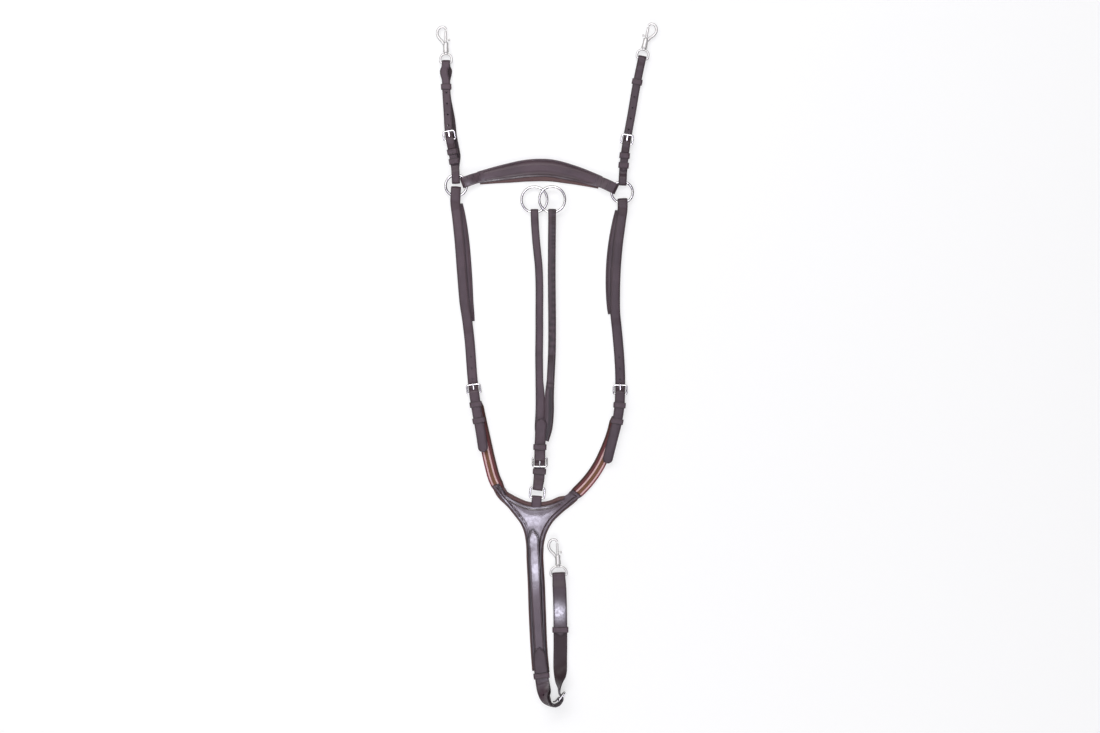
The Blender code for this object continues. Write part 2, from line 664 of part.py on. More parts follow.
def make_top_strap(hand, snap_hand, spread, slack, flare):
    """One strap from the buckle's bar round the wither ring, up the back, round the
    snap's eye and down the front through its own buckle and keepers. Where the back
    layer spreads out from under the front, the keepers pass between the two."""
    name = f"top_strap_{hand}"
    route = from_ring(wither_rings[hand], top_points[hand])
    w, t = top_width, top_thick
    back = lift + t / 2
    base = lift + t
    if spread:
        base += keeper_thick + gap
    s_buckle = route.near(*top_points[hand][2]) - 6.0
    s_eye = route.length
    heights = buckle_heights(base, t)
    front = base + gap + t / 2
    radius = wire + gap + t / 2
    s_ring = ring_fold(wither_ring_radius, w)
    eye_radius = eye_wire + gap + t / 2
    eye_n = back + eye_radius
    c = chape_thick
    tail_end = s_buckle - 11
    layer = front + t + gap
    start = [(tail_end, heights["tail"], w, c), (s_buckle - 4, heights["tail"], w, c)]
    round_bar = fold(s_buckle, heights["pivot"], heights["fold"], -90, 90, w, c)
    down = ease((s_buckle - 3, heights["chape"], w, c), (tail_end - 8, front, w, t), 6)
    to_ring = ease((tail_end - 8, front, w, t), (s_ring + 18, front, w, t), 12)
    to_ring += ease((s_ring + 16, front + 0.3, w, t), (s_ring + 6, ring_height + radius, w, t), 5)
    round_ring = fold(s_ring - slack, ring_height, radius, 90, 270, w, t)
    up_back = ease((s_ring + 9, back, w, t), (s_ring + 34, back, w, t, spread), 6)
    up_back += ease((s_buckle - 4, back, w, t, spread), (s_buckle + 14, back, w, t, spread), 12)
    up_back += ease((s_buckle + 20, back, w, t, spread), (s_eye - 46, back, w, t), 10)
    up_back += ease((s_eye - 31, back, w, t), (s_eye - 14, back, w, t, flare), 6)
    up_back += ease((s_eye - 12, back, w, t, flare), (s_eye - 4, back, w, t, flare * 0.1), 4)
    round_eye = fold(s_eye, eye_n, eye_radius, -90, 90, w, t)
    half_way = (eye_n + eye_radius + front) / 2
    to_front = ease((s_eye - 4, eye_n + eye_radius, w, t, -flare * 0.1), (s_eye - 13, half_way, w, t, -flare), 5)
    to_front += ease((s_eye - 15, half_way, w, t, -flare), (s_eye - 30, front, w, t), 6)
    down_front = ease((s_eye - 32, front, w, t), (s_buckle + buckle_reach + 2, heights["under"], w, t), 24)
    climb = [(s_buckle + buckle_reach - 2, heights["under"], w, t), *ease(
        (s_buckle + buckle_reach - 4, heights["under"] + 0.3, w, t), (s_buckle + 1, heights["over"], w, t), 4)]
    settle = ease((s_buckle - 4, heights["over"], w, t), (tail_end - 9, layer, w, t), 6)
    s_tip = s_ring + 19
    tip = rounded_tip((s_tip, layer + 0.5, w, t), -1)
    tail = ease((tail_end - 9, layer, w, t), (s_tip + w / 2 + 1, layer + 0.4, w, t), 14)
    item = belt(name, route, start + round_bar + down + to_ring + round_ring + up_back + round_eye
                + to_front + down_front + climb + settle + tail + tip, leather(name), outer=1)
    prong_slots(item, name, route, s_buckle, heights, 1, base + gap / 2, True, True)
    spaced = [(s_buckle + buckle_reach + 9 + 17.6 * k, base + 0.1, 0) for k in range(4)]
    holes(item, name, route, spaced, low=0.05, high=t + 4)
    buckle(f"top_buckle_{hand}", route, s_buckle, heights, w, 1)
    prong(f"top_prong_{hand}", route, s_buckle, heights, 1)
    high = layer + t / 2
    for k, (s, rise) in enumerate(((tail_end - 8.5, 0.8), (tail_end - 24, 0.3))):
        keeper(f"top_keeper_{hand}_{k + 1}", route, s, base + gap if spread else lift, high + rise, w)
    keeper(f"top_runner_{hand}", route, s_eye - 38, lift, front + t / 2, w)
    snap(f"top_snap_{hand}", route.matrix(s_eye, eye_n) @ Matrix.Rotation(math.radians(-90), 4, "Z"),
         w, snap_hand)
    tell(name, route, s_buckle, heights, s_eye - 38)


def tell(name, route, s, heights, s_runner=None):
    """Prints a prong's pivot and axis, for the joints."""
    print("prong", name, [round(float(c), 3) for c in route.point(s, heights["pivot"])],
          [round(float(c), 5) for c in route.frame(s)[3]])
    if s_runner:
        print("runner", name, [round(float(c), 5) for c in route.frame(s_runner)[1]])


def make_shoulder(hand, slack):
    """A strap that folds round the wither ring, lies on its own long pad and ends in a
    pointed billet in the buckle of the elastic."""
    name = f"shoulder_strap_{hand}"
    route = from_ring(wither_rings[hand], shoulder_points[hand])
    w, t = shoulder_width, shoulder_thick
    s_ring = ring_fold(wither_ring_radius, w, slack)
    radius = wire + gap + t / 2
    s_pad = ring_fold(wither_ring_radius, w) + 14
    s_pad_end = route.near(*shoulder_points[hand][5])
    low = lift + t / 2
    on_pad = pad_thick + gap + t / 2
    s_buckle = route.near(*shoulder_points[hand][7]) + 8
    s_tip = route.length
    tail_c = 1.5
    heights = buckle_heights(0.0, t, tail_c)
    layer = gap + tail_c + gap + elastic_thick + gap + keeper_thick + gap
    upper = layer + tail_c / 2
    billet = layer + tail_c + gap + t / 2
    top, under = ring_height + radius, ring_height - radius
    stations = [(s_pad - 1, under, w * 0.9, t), (s_pad - 5, under, w, t), (s_ring + 3, under, w, t)]
    stations += fold(s_ring, ring_height, radius, 270, 90, w, t)
    stations += ease((s_ring + slack + 6, top, w, t), (s_pad + 12, on_pad, w, t), 5)
    stations += ease((s_pad + 20, on_pad, w, t), (s_pad_end + 1, on_pad, w, t), 26)
    stations += ease((s_pad_end + 3, on_pad, w, t), (s_pad_end + 22, low, w, t), 6)
    stations += ease((s_pad_end + 26, low, w, t), (s_buckle - buckle_reach - 12, low, w, t), 32)
    stations += ease((s_buckle - buckle_reach - 8, low, w, t), (s_buckle - buckle_reach, heights["under"], w, t), 5)
    stations += ease((s_buckle - buckle_reach + 3.2, heights["under"] + 0.4, w, t),
                     (s_buckle - 1, heights["over"], w, t), 4)
    stations += ease((s_buckle + 4, heights["over"], w, t), (s_buckle + 14, billet, w, t), 5)
    stations += ease((s_buckle + 16, billet, w, t), (s_tip - w / 2 - 1, billet, w, t), 16)
    stations += rounded_tip((s_tip, billet, w, t), 1)
    item = belt(name, route, stations, leather(name))
    prong_slots(item, name, route, s_buckle, heights, -1, 0.0, False, True)
    holes(item, name, route, [(s_buckle - buckle_reach - 9 - 17.6 * k, 0.2, 0) for k in range(3)], low=-1, high=8)
    make_shoulder_pad(hand, route, s_pad, s_pad_end)
    chape = [(s_buckle + 30, gap + tail_c / 2, w, tail_c)]
    chape += ease((s_buckle + 20, gap + tail_c / 2, w, tail_c), (s_buckle + 4, gap + tail_c / 2, w, tail_c), 9)
    chape += fold(s_buckle, heights["pivot"], heights["fold"], 270, 90, w, tail_c)
    chape += ease((s_buckle + 3, heights["chape"], w, tail_c), (s_buckle + 13, upper, w, tail_c), 5)
    chape += ease((s_buckle + 16, upper, w, tail_c), (s_tip - 12, upper, w, tail_c), 18)
    chape_item = belt(f"elastic_chape_{hand}", route, chape, leather("elastic_chape"), edge=0.4)
    prong_slots(chape_item, f"elastic_chape_{hand}", route, s_buckle, heights, -1, -0.5, True, False)
    buckle(f"shoulder_buckle_{hand}", route, s_buckle, heights, w, -1)
    prong(f"shoulder_prong_{hand}", route, s_buckle, heights, -1)
    for k, s in enumerate((s_buckle + 18, s_buckle + 44)):
        keeper(f"shoulder_keeper_{hand}_{k + 1}", route, s, layer, billet + t / 2, w)
    tell(name, route, s_buckle, heights)
    make_elastic(hand, gap + tail_c + gap)


def make_shoulder_pad(hand, route, s_start, s_end):
    """The pad under a shoulder strap, crowned, wider to the inner side."""
    inward = {"left": 1, "right": -1}[hand]
    stations = []
    for t in np.linspace(0, 1, 11):
        s = s_start + (s_end - s_start) * t
        swell = math.sin(math.pi * min(1, max(0, (t + 0.06) / 1.12))) ** 0.4
        stations.append((s, 15.0 + 9.0 * swell, 4.0 * swell))
    rings = []
    for s, width, shift in stations:
        out = width / 2
        section = [(-out, 1.2), (-out + 1.2, 0), (out - 1.2, 0), (out, 1.2), (out, 2.6),
                   (out - 2.4, pad_thick - 0.2), (0, pad_thick), (2.4 - out, pad_thick - 0.2), (-out, 2.6)]
        rings.append([route.point(s, n, u - inward * shift) for u, n in section])
    tube_of(f"shoulder_pad_{hand}", np.array(rings), False, lining("shoulder_pad"))


def make_elastic(hand, low):
    """A band of elastic webbing from under the chest piece to the shoulder buckle."""
    route = Route(level(elastic_points[hand], 0))
    n = low + elastic_thick / 2
    w = elastic_width
    stations = [(7.0, n, 14.0, elastic_thick)]
    stations += ease((16, n, w * 0.92, elastic_thick), (route.length - 14, n, w, elastic_thick), 12)
    stations += [(route.length, n, w * 0.9, elastic_thick)]
    belt(f"elastic_{hand}", route, stations, webbing("elastic"), edge=0.45)


def make_wither_pad():
    """A wide crowned strap over the withers: a lining and a face, whose ends fold round
    the two wither rings."""
    route = Route(level(wither_points, 0))
    length = route.length
    radius = wire + gap + 1.3
    t = 2.6
    low = 3.4

    def swell(share):
        return math.sin(math.pi * share) ** 1.3

    lining_rings, face_stations = [], []
    for share in np.linspace(0.085, 0.915, 14):
        s = length * share
        half = (18.0 + 17.0 * swell(share)) / 2
        drop = -3.4 * swell(share)
        section = [(-half, 1.4), (-half + 1.5, 0), (half - 1.5, 0), (half, 1.4), (half - 0.3, 2.4),
                   (half - 1.6, low - 0.1), (1.6 - half, low - 0.1), (0.3 - half, 2.4)]
        lining_rings.append([route.point(s, n, u - drop) for u, n in section])
    tube_of("wither_lining", np.array(lining_rings), False, lining("wither_lining"))

    rings = []
    for share in np.linspace(0.09, 0.91, 12):
        s = length * share
        half = (16.5 + 12.5 * swell(share)) / 2
        rise = 4.0 * swell(share) + 2.6
        side = -0.6 * swell(share)
        section = [(-half, low + gap), (half, low + gap), (half, low + gap + 1.6), (half - 2.2, low + gap + 2.4),
                   (half * 0.45, low + gap + rise * 0.92), (-half * 0.45, low + gap + rise * 0.92),
                   (2.2 - half, low + gap + 2.4), (-half, low + gap + 1.6)]
        rings.append([route.point(s, n, u + side) for u, n in section])
    face = tube_of("wither_face", np.array(rings), False, leather("wither_face"))
    ends = []
    for hand, s_end, heading in (("left", 0.0, -1), ("right", length, 1)):
        w = 14.6
        x, y = wither_rings[hand]
        from_centre = math.dist(route.point(s_end)[:2], (x, y))
        s_fold = s_end + heading * (from_centre - ring_fold(wither_ring_radius, w, 0.4))
        inner = s_end - heading * 0.1 * length
        path = ease((inner - heading * 4, low + gap + 1.5, w, t), (s_fold - heading, ring_height - radius, w, t), 6)
        first = -90 if heading > 0 else 270
        path += fold(s_fold, ring_height, radius, first, 90, w, t)
        path += ease((s_fold - heading * 5, ring_height + radius, w, t),
                     (inner - heading * 5, low + gap + 3.0, w, 2.0), 6)
        ends.append(belt(f"wither_end_{hand}", route, path, leather("wither_face")))
    join_bodies(face, ends)


def dee_route():
    """The billet's route: from the dee's round side up to the buckle and the tip."""
    return Route(level([(4.4, 47.0), (6.0, 58), (7.4, 80), (8.0, 116), (9.2, 140), (11.4, 166)], 0))


def make_fork():
    """Two straps from the fork's rings, joined into one tail that ends in a buckle."""
    legs = []
    for hand in ("left", "right"):
        x, y, z = fork_rings[hand]
        t, w = fork_thick, fork_width
        route = Route([(x, y, 0, 0), *level(fork_points[hand], 0)])
        s_ring = ring_fold(fork_ring_radius, w)
        radius = fork_ring_wire + gap + t / 2
        low = fork_low
        under = z - radius
        stations = [(s_ring + 24, under, w * 0.8, t), (s_ring + 19, under, w, t), (s_ring + 3, under, w, t)]
        stations += fold(s_ring, z, radius, 270, 90, w, t)
        on_tail = max(low, under + t + gap)
        stations += ease((s_ring + 5, z + radius, w, t), (s_ring + 22, on_tail, w, t), 5)
        stations += ease((s_ring + 27, on_tail, w, t), (s_ring + 60, max(low, under), w, t), 11)
        stations += ease((s_ring + 80, max(low, under), w, t), (s_ring + 230, low, w, t), 32)
        for place, wide in zip(fork_points[hand][-5:], fork_join):
            stations.append((route.near(*place), low, wide, t))
        legs.append(belt(f"fork_{hand}", route, stations, leather("fork_strap")))
        torus(f"fork_ring_{hand}", (x, y, z), fork_ring_radius, fork_ring_wire, nickel("fork_ring"))
    w, t = tail_width, fork_thick
    route = dee_route()
    base = lift + fork_thick
    heights = buckle_heights(base, t)
    s_buckle = route.near(7.7, 95)
    top = heights["chape"]
    stations = [(s_buckle + 26, heights["tail"], w, chape_thick), (s_buckle + 4, heights["tail"], w, chape_thick)]
    stations += fold(s_buckle, heights["pivot"], heights["fold"], 270, 90, w, chape_thick)
    stations += ease((s_buckle + 3, top, w, chape_thick), (s_buckle + 30, fork_low + 0.3, w, t), 7)
    stations += ease((s_buckle + 34, fork_low, w, t), (s_buckle + 62, fork_low, w, t), 14)
    tail = belt("fork_strap", route, stations, leather("fork_strap"))
    join_bodies(tail, legs)
    prong_slots(tail, "fork_strap", route, s_buckle, heights, -1, base + gap / 2, True, False)
    make_fork_billet(route, s_buckle, heights)
    buckle("fork_buckle", route, s_buckle, heights, w, -1)
    prong("fork_prong", route, s_buckle, heights, -1)
    tell("fork", route, s_buckle, heights)


fork_join = (fork_width, 14.6, 15.0, 14.4, 12.6)
fork_low = lift + fork_thick + gap + chape_thick + gap + fork_thick / 2


def make_fork_billet(route, s_buckle, heights):
    """Sewn under the fork's tail, it goes down, round the dee and up into the buckle."""
    w, t = tail_width, fork_thick
    back = lift + t / 2
    radius = dee_wire + gap + t / 2
    front = fork_low + t + gap
    s_tip = s_buckle + 62
    stations = [(s_buckle + 40, back, w, t)]
    stations += ease((s_buckle + 28, back, w, t), (14, back, w, t), 16)
    stations += ease((11, back, w, t), (4, dee_height - radius, w * 0.93, t), 4)
    stations += fold(0.0, dee_height, radius, 270, 90, w * 0.93, t)
    stations += ease((4, dee_height + radius, w * 0.93, t), (14, heights["under"] + 0.8, w, t), 5)
    stations += ease((15, heights["under"] + 0.6, w, t), (s_buckle - buckle_reach, heights["under"], w, t), 8)
    stations += ease((s_buckle - buckle_reach + 3.2, heights["under"] + 0.4, w, t),
                     (s_buckle - 1, heights["over"], w, t), 4)
    stations += ease((s_buckle + 4, heights["over"], w, t), (s_buckle + 30, front + 0.4, w, t), 8)
    stations += ease((s_buckle + 34, front, w, t), (s_tip - w / 2 - 1, front, w, t), 12)
    stations += rounded_tip((s_tip, front, w, t), 1)
    item = belt("fork_billet", route, stations, leather("fork_billet"))
    prong_slots(item, "fork_billet", route, s_buckle, heights, -1, 0.0, False, True)
    keeper("fork_keeper_1", route, s_buckle + 17, lift, heights["over"] + t / 2 - 0.4, w)
    keeper("fork_keeper_2", route, s_buckle - buckle_reach - 8, lift, heights["under"] + t / 2 + 0.5, w)


def make_dee():
    """A dee on the chest piece, held by a chape sewn over the edge of the neckline."""
    half = (tail_width * 0.93) / 2 + 1.6 + dee_wire
    x, y = dee_bar
    outline = round_corners([(-half, 0, 0), (half, 0, 0), (half, dee_reach, 0), (-half, dee_reach, 0)],
                            [1.9, 1.9, 3.4, 3.4])
    turn = Matrix.Translation((x, y, dee_height)) @ Matrix.Rotation(math.radians(-dee_lean), 4, "Z")
    rings = wire_rings(outline, dee_wire, 8, True)
    item = tube_of("chest_dee", placed(rings.reshape(-1, 3), turn).reshape(rings.shape), True, nickel("chest_dee"))
    set_origin(item, (x, y, dee_height))
    direction = np.array((math.sin(math.radians(dee_lean)), math.cos(math.radians(dee_lean))))
    start = np.array(dee_bar) - direction * 30
    route = Route(level([tuple(start), tuple(start + direction * 15), dee_bar], 0))
    c = 1.6
    radius = dee_wire + gap + c / 2
    top = pad_thick + gap + face_thick + gap + c / 2
    stations = ease((15.0, top, 15.0, c), (24, top, 16, c), 4)
    stations += ease((25.5, top, 16, c), (29, dee_height + radius, 16, c), 2)
    stations += fold(30, dee_height, radius, 90, -90, 16, c)
    stations += [(29, dee_height - radius, 16, c), (26.5, dee_height - radius, 16, c)]
    belt("chest_chape", route, stations, leather("chest_chape"), edge=0.4)


# Chest piece: a padded Y of leather whose arms take the elastics and whose stem
# carries the girth strap

chest_left = [(-43.4, 15.4), (-32.0, 1.4), (-22.8, -11.4), (-17.2, -25.7), (-14.6, -41.6), (-13.5, -68.8),
              (-11.8, -102.4), (-10.2, -152.0), (-6.7, -218.4), (-4.6, -246.0)]
chest_right = [(23.4, -248.0), (20.6, -218.4), (17.6, -152.0), (15.7, -102.4), (13.2, -62.4), (15.4, -37.9),
               (20.8, -21.4), (28.3, -8.6), (42.9, 6.1)]
chest_neckline = [(38.8, 33.0), (24.6, 27.0), (10.0, 24.2), (-8.5, 24.2), (-24.6, 30.0)]
padding_left_arm = [(-60.0, 34.6)], [(-37.0, 36.4), (-45.8, 41.2)]
padding_right_arm = [(62.4, 23.0)], [(51.8, 34.8)]
face_left_arm = [(-69.5, 49.5), (-58.6, 33.4)], [(-38.4, 37.8), (-50.6, 48.8), (-58.2, 55.6)]
face_right_arm = [(56.6, 19.8), (71.6, 35.0)], [(61.4, 46.0), (54.0, 40.2)]
face_rim = 1.8


def chest_outline(left_arm, right_arm):
    """Three smooth runs: down the left, up the right and back along the neckline."""
    runs = [left_arm[0] + chest_left, chest_right + right_arm[0],
            right_arm[1] + chest_neckline + left_arm[1]]
    return np.concatenate([curve_through([(x, y, 0) for x, y in run], 13.0)[:, :2] for run in runs])


def inset(outline, distance):
    """An outline drawn in by a distance; it runs anticlockwise."""
    ahead = unit(np.roll(outline, -1, axis=0) - np.roll(outline, 1, axis=0))
    return outline + np.stack([-ahead[:, 1], ahead[:, 0]], 1) * distance


def make_chest():
    plate("chest_padding", chest_outline(padding_left_arm, padding_right_arm), 0.0, pad_thick,
          lining("chest_padding"), edge=1.6)
    face = inset(chest_outline(face_left_arm, face_right_arm), face_rim)
    plate("chest_face", face, pad_thick + gap, pad_thick + gap + face_thick, leather("chest_face"), edge=0.8)


stem_top = pad_thick + gap + face_thick + gap
girth_points = [
    (-3.4, -20, stem_top, 0), (-0.6, -70, stem_top, 0), (2.6, -140, stem_top, 0), (6.6, -205, stem_top, 0),
    (9.2, -240, stem_top, 0), (11.0, -257, stem_top, 0), (12.0, -263, stem_top, 0),
    (16.4, -278.4, 9.0, 25), (22.0, -290, 13.0, 60), (30.6, -295.0, 15.2, 87), (37.2, -290.0, 15.4, 90), (38.6, -281, 15.4, 91), (39.4, -271, 15.0, 98),
    (40.0, -257, 10.6, 136), (40.2, -240, 6.2, 171), (40.6, -205, 5.2, 180), (40.4, -160, 5.2, 180),
    (39.4, -120, 5.2, 180), (38.0, -93.0, 5.2, 180)]


def make_girth():
    route = Route(girth_points)
    w, t = girth_width, girth_thick
    over_w = 16.0
    s_buckle = route.near(37.2, -289.5)
    heights = buckle_heights(-2.2, t)
    c = chape_thick
    flat = t / 2
    point = [(0.0, flat, 0.6, t), (2.0, flat, 4.2, t), (5.0, flat, 9.4, t), (9.0, flat, 14.4, t)]
    overlay = point + ease((14, flat, over_w, t), (route.near(9.2, -236), flat, over_w, t), 24)
    s_bend = route.near(11.4, -258) + 8
    overlay += ease((route.near(9.2, -242), flat, w, t), (s_bend - 1, flat, w, t), 16)
    overlay += ease((s_bend, flat, w, t), (s_buckle - 18, flat, w, t), 3.5)
    overlay += ease((s_buckle - 18, flat, w, t), (s_buckle - 3, heights["chape"], w, c), 3)
    overlay += fold(s_buckle, heights["pivot"], heights["fold"], 90, -90, w, c)
    overlay += ease((s_buckle - 3, heights["tail"], w, c), (s_buckle - 9, heights["tail"], w, c), 4)
    item = belt("girth_overlay", route, overlay, leather("girth_overlay"))
    prong_slots(item, "girth_overlay", route, s_buckle, heights, 1, heights["tail"] - 2, True, False)

    layer = t + gap + t / 2
    eye_radius = eye_wire + gap + t / 2
    s_eye = route.length
    eye_n = t / 2 - eye_radius
    narrow = 20.7
    s_tip = route.near(6.8, -208)
    billet = rounded_tip((s_tip, layer, w - 2, t), -1)[::-1]
    billet += ease((s_tip + w / 2 + 2, layer, w - 1, t), (s_bend - 1, layer, w, t), 16)
    loose = layer + 0.35
    billet += ease((s_bend, loose, w, t), (s_buckle - 18, loose, w, t), 3.5)
    billet += ease((s_buckle - 18, loose, w, t), (s_buckle - 3, heights["over"] + 0.3, w, t), 3)
    billet += ease((s_buckle + 1, heights["over"], w, t),
                   (s_buckle + buckle_reach - 3.6, heights["under"] + 0.5, w, t), 3)
    past = s_buckle + buckle_reach
    billet += ease((past, heights["under"], w, t), (past + 4, heights["under"], w, t), 4)
    billet += ease((past + 6, heights["under"], w, t), (past + 42, flat, w, t), 5)
    billet += ease((past + 50, flat, w, t), (s_eye - 26, flat, w, t), 20)
    billet += ease((s_eye - 18, flat, w, t), (s_eye - 2, flat, narrow, t), 8)
    billet += fold(s_eye, eye_n, eye_radius, 90, -90, narrow, t)
    back = -flat - gap
    billet += ease((s_eye - 3, eye_n - eye_radius, narrow, t), (s_eye - 22, back, w, t), 6)
    billet += ease((s_eye - 30, back, w, t), (s_eye - 84, back, w, t), 20)
    billet += rounded_tip((s_eye - 96, back, w, t), -1)
    item = belt("girth_billet", route, billet, leather("girth_billet"))
    prong_slots(item, "girth_billet", route, s_buckle, heights, 1, 0.0, False, True)
    holes(item, "girth_billet", route, [(s_buckle - 16, 3.6, 0), (s_buckle - 27, 3.6, 0)], low=-0.15, high=7)
    buckle("girth_buckle", route, s_buckle, heights, w, 1)
    prong("girth_prong", route, s_buckle, heights, 1)
    keeper("girth_keeper", route, route.near(10.3, -252.6), 0.0, layer + t / 2, w)
    keeper("girth_snap_keeper", route, route.near(40, -180), back - t / 2, t, w)
    snap("girth_snap", route.matrix(s_eye, eye_n) @ Matrix.Rotation(math.radians(-90), 4, "Z"), narrow, -1)
    tell("girth", route, s_buckle, heights)


# What differs between the two sides, as they lie: which way the snap's hook bulges,
# the slack of the top and the shoulder strap's folds in the wither ring, and how far
# the back layer of the top strap lies out from under the front, and both at the eye.
sides = (("left", 1, (8.0, 8.0), 5.5, 3.2), ("right", -1, (0.0, 0.0), 0.0, 0.0))


def main():
    clear_scene()
    make_chest()
    make_dee()
    make_girth()
    make_fork()
    for hand, snap_hand, slacks, spread, flare in sides:
        make_wither_ring(hand)
        make_top_strap(hand, snap_hand, spread, slacks[0], flare)
        make_shoulder(hand, slacks[1])
    make_wither_pad()


main()
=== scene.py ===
# A three-point breastplate in dark havana leather, laid flat on white and seen from above.
# Lengths are in millimetres until fillMesh puts them into a mesh in metres.
import json
import math

import bpy
import numpy as np
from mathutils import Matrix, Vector

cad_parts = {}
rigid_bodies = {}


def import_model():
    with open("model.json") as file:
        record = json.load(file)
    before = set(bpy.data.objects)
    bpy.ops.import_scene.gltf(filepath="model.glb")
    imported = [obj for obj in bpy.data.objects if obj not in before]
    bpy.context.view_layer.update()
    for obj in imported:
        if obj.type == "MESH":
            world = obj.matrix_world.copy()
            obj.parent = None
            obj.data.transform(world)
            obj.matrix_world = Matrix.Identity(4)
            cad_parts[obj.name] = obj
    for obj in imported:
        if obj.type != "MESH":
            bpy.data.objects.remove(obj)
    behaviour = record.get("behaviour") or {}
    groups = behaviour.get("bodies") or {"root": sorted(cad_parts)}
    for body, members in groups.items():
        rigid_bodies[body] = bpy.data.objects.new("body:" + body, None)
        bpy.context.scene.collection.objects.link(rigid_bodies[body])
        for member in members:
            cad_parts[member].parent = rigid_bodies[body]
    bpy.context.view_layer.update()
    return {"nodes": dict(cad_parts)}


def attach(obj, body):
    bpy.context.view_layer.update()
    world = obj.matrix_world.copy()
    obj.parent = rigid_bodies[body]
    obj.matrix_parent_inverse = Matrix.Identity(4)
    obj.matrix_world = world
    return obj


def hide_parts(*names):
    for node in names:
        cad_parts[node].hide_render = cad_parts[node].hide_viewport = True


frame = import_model()
nodes = frame["nodes"]

hands = ("left", "right")
inMetres, inMillimetres = 0.001, 1000
view = {"centre": (24.0, 240.8), "height": 6.0, "wide": 1100 * 1.6}


def clamp(values, low=0.0, high=1.0):
    return np.minimum(np.maximum(values, low), high)


def smooth(values):
    # 3 t squared less 2 t cubed, with t held between 0 and 1
    t = clamp(values)
    return t * t * (3 - 2 * t)


def unit(v):
    v = np.asarray(v, float)
    return v / np.maximum(np.linalg.norm(v, axis=-1, keepdims=True), 1e-9)


def bell(values, at, wide):
    # e to the power of minus ((value - at) / wide) squared
    return np.exp(-((values - at) / wide) ** 2)


def lengths(path):
    # the length of a path up to each of its points
    return np.concatenate([[0], np.cumsum(np.linalg.norm(np.diff(path, axis=0), axis=1))])


def pointsAt(path, run, at):
    # the points where the length run of a path has the values at
    return np.stack([np.interp(at, run, path[:, k]) for k in range(path.shape[1])], -1)


def addObject(name, data):
    made = bpy.data.objects.new(name, data)
    bpy.context.collection.objects.link(made)
    return made


def newMaterial(name):
    material = bpy.data.materials.new(name)
    material.use_nodes = True
    return material, material.node_tree, material.node_tree.nodes["Principled BSDF"]


def feed(node, socket, source):
    # a source is a node with one of its outputs, or a plain value
    if isinstance(source, tuple) and hasattr(source[0], "outputs"):
        node.id_data.links.new(source[0].outputs[source[1]], node.inputs[socket])
    else:
        node.inputs[socket].default_value = source


def addNode(tree, kind, **values):
    node = tree.nodes.new("ShaderNode" + kind)
    for key, value in values.items():
        if hasattr(node, key) and key not in node.inputs:
            setattr(node, key, value)
        else:
            feed(node, key, value)
    return node


def objectNoise(tree, scale, detail=2.0, roughness=0.5):
    coords = addNode(tree, "TexCoord"), "Object"
    return addNode(tree, "TexNoise", Vector=coords, Scale=scale, Detail=detail, Roughness=roughness), "Fac"


def rampNode(tree, source, stops, interpolation="LINEAR"):
    node = addNode(tree, "ValToRGB", Fac=source)
    ramp = node.color_ramp
    ramp.interpolation = interpolation
    while len(ramp.elements) < len(stops):
        ramp.elements.new(0.5)
    for element, (place, colour) in zip(ramp.elements, stops):
        element.position = place
        element.color = (*colour, 1)
    return node, "Color"


def mixNode(tree, blend, factor, a, b):
    node = addNode(tree, "Mix", data_type="RGBA", blend_type=blend)
    for socket, source in ((0, factor), (6, a), (7, b)):
        feed(node, socket, source)
    return node, 2


def mathNode(tree, operation, *sources, **values):
    node = addNode(tree, "Math", operation=operation, **values)
    for socket, source in enumerate(sources):
        feed(node, socket, source)
    return node, 0


def spread(tree, source, low, high, start=0.0, end=1.0, kind="LINEAR"):
    # start to end of the source becomes low to high
    node = addNode(tree, "MapRange", interpolation_type=kind, Value=source)
    for socket, value in zip(("From Min", "From Max", "To Min", "To Max"), (start, end, low, high)):
        node.inputs[socket].default_value = value
    return node, "Result"


def bumpNode(tree, height, strength, distance):
    return addNode(tree, "Bump", Height=height, Strength=strength, Distance=distance), "Normal"


def grey(value):
    return (value, value, value)


def leatherMaterial(name, look):
    # pores from a cell pattern, creases from stretched noise, and three attributes: edge for the dyed cut edge
    # together with painted shade at edges, in grooves and round the raised overlay, flesh for the suede back, gloss
    # for the burnished places
    material, tree, shader = newMaterial(name)
    coords = addNode(tree, "TexCoord"), "Object"
    pores = addNode(tree, "TexVoronoi", Vector=coords, Scale=look["pores"], Randomness=1.0), "Distance"
    folds = objectNoise(tree, look["folds"], 5.0, 0.6)
    cloud = objectNoise(tree, look["cloud"], 3.0, 0.55)
    edge, flesh, polish = ((addNode(tree, "Attribute", attribute_name=label), "Fac")
                           for label in ("edge", "flesh", "gloss"))
    tone = rampNode(tree, cloud, [(0.3, look["dark"]), (0.7, look["light"])])
    # the edge colour mixed in: the dyed cut edge and painted shade
    dyedAndShadedTone = mixNode(tree, "MIX", edge, tone, (*look["edge"], 1))
    rough = spread(tree, folds, look["rough"] - 0.07, look["rough"] + 0.09)
    height = mathNode(tree, "MULTIPLY_ADD", folds, 0.7, pores)
    patchy = spread(tree, folds, 0.6, 1.15, 0.36, 0.64)
    gloss = mathNode(tree, "MULTIPLY", polish, patchy, use_clamp=True)
    for socket, source in (
            ("Base Color", mixNode(tree, "MIX", flesh, dyedAndShadedTone, (*look["flesh"], 1))),
            ("Roughness", mathNode(tree, "MAXIMUM", rough, mathNode(tree, "MULTIPLY", flesh, 0.85))),
            ("Normal", bumpNode(tree, height, look["bump"], 0.00018)), ("Specular IOR Level", 0.4),
            ("Coat Weight", spread(tree, gloss, look["coat"], 1.0)),
            ("Coat Roughness", spread(tree, gloss, look["coatRough"], 0.2)),
            ("Coat IOR", 2.4), ("Coat Tint", (0.95, 0.91, 1.0, 1))):
        feed(shader, socket, source)
    return material


